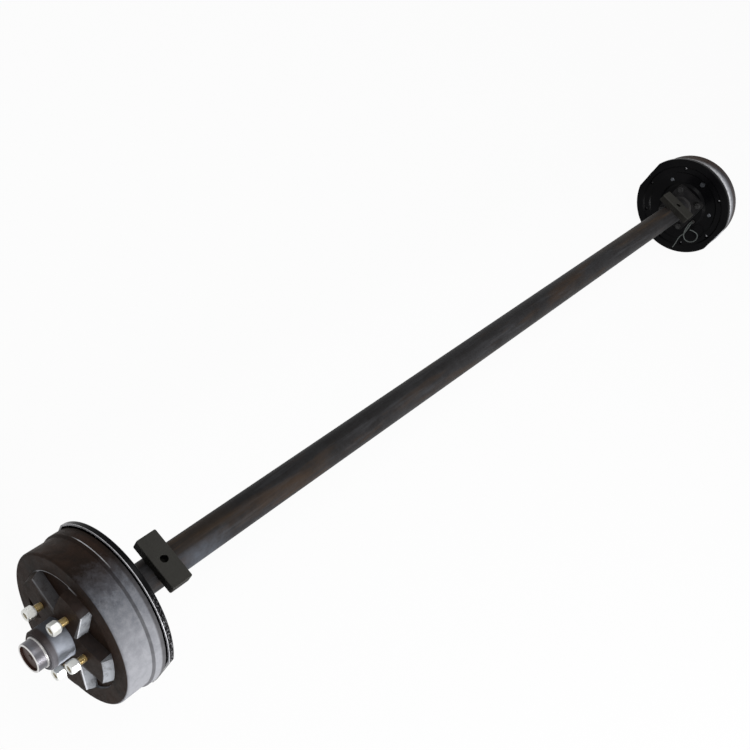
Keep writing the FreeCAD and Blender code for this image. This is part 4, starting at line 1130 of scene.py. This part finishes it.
def makeStuds(tree, side, outward):
    name = side + "_threaded_studs"
    holder = bpy.data.objects.new(name, bpy.data.meshes.new(name))
    bpy.context.collection.objects.link(holder)
    modifier = holder.modifiers.new("studs", "NODES")
    modifier.node_group = tree
    items = tree.interface.items_tree
    sockets = {item.name: item.identifier for item in items if item.in_out == "INPUT"}
    for label, value in wheelStuds.items():
        modifier[sockets[label]] = value
    modifier[sockets["Finish"]] = finishes["yellowZinc"]
    bpy.context.view_layer.update()
    evaluated = holder.evaluated_get(bpy.context.evaluated_depsgraph_get())
    mesh = bpy.data.meshes.new_from_object(evaluated)
    holder.modifiers.remove(modifier)
    # the tree's Z points out of the hub, and its X stays forward
    stand = Matrix(((1, 0, 0), (0, 0, outward), (0, 1, 0))).to_4x4()
    stand.translation = (0, outward * rimFace, 0)
    mesh.transform(stand)
    if stand.determinant() < 0:
        mesh.flip_normals()
    holder.data = mesh
    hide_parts(side + "_wheel_studs")
    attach(holder, side + "_hub")
    return holder


studTree = makeStudTree(threadShape)
for side, outward in (("right", -1), ("left", 1)):
    studs = makeStuds(studTree, side, outward)
    print(studs.name, len(studs.data.polygons), "faces")


# Floor and light

stage = {
    "floorColour": (0.62, 0.62, 0.62),
    "floorGlow": 0.95,
    "floorSize": 14.0,
    "floorGap": 0.0004,
    "worldColour": (1.0, 1.0, 1.0),
    "worldStrength": 0.36,
    "lamps": {
        "keySide": {"place": (2.5, -1.05, 0.80), "aim": (0.0, -1.1, 0.0),
                    "width": 1.2, "height": 1.0, "power": 86.0, "colour": (0.985, 0.99, 1.0)},
        "tubeSide": {"place": (2.4, 0.9, 0.8), "aim": (0.0, 0.6, 0.0),
                     "width": 1.8, "height": 0.5, "power": 9.0, "colour": (1.0, 0.99, 0.98)},
        "overhead": {"place": (-0.2, -0.4, 3.0), "aim": (0.0, -0.4, 0.0),
                     "width": 2.6, "height": 1.2, "power": 30.0, "colour": (1.0, 1.0, 1.0)},
    },
}


def seenRays(tree):
    # 1 for what the camera sees, straight or in a reflection. Everything else gets the plain level.
    rays = tree.nodes.new("ShaderNodeLightPath").outputs
    return most(tree, rays["Is Camera Ray"], rays["Is Glossy Ray"])


def makeFloor(look):
    half = look["floorSize"] / 2
    height = cadBox[0].z - look["floorGap"]
    mesh = bpy.data.meshes.new("floor")
    corners = [(x * half, y * half, height) for x, y in ((-1, -1), (1, -1), (1, 1), (-1, 1))]
    mesh.from_pydata(corners, [], [(0, 1, 2, 3)])
    floor = bpy.data.objects.new("floor", mesh)
    bpy.context.collection.objects.link(floor)
    material = bpy.data.materials.new("paleFloor")
    material.use_nodes = True
    tree = material.node_tree
    tree.nodes.remove(tree.nodes["Principled BSDF"])
    matt = addNode(tree, "ShaderNodeBsdfDiffuse", {"Color": (*look["floorColour"], 1.0)})
    glow = addNode(tree, "ShaderNodeEmission", {"Color": (1.0, 1.0, 1.0, 1.0), "Strength": 1.0})
    share = times(tree, seenRays(tree), look["floorGlow"])
    mix = addNode(tree, "ShaderNodeMixShader", {0: share, 1: matt.outputs[0], 2: glow.outputs[0]})
    tree.links.new(mix.outputs[0], tree.nodes["Material Output"].inputs["Surface"])
    mesh.materials.append(material)


def makeWorld(look):
    world = bpy.data.worlds.new("paleRoom")
    world.use_nodes = True
    tree = world.node_tree
    back = tree.nodes["Background"]
    back.inputs["Color"].default_value = (*look["worldColour"], 1.0)
    strength = mixValue(tree, seenRays(tree), look["worldStrength"], 1.0)
    tree.links.new(strength, back.inputs["Strength"])
    bpy.context.scene.world = world


def makeLamp(name, look):
    data = bpy.data.lights.new(name, "AREA")
    data.shape = "RECTANGLE"
    data.size = look["width"]
    data.size_y = look["height"]
    data.energy = look["power"]
    data.color = look["colour"]
    lamp = bpy.data.objects.new(name, data)
    bpy.context.collection.objects.link(lamp)
    lamp.location = look["place"]
    way = Vector(look["aim"]) - Vector(look["place"])
    lamp.rotation_euler = way.to_track_quat("-Z", "Y").to_euler()


makeFloor(stage)
makeWorld(stage)
for name, look in stage["lamps"].items():
    makeLamp(name, look)
print("floor and light set")
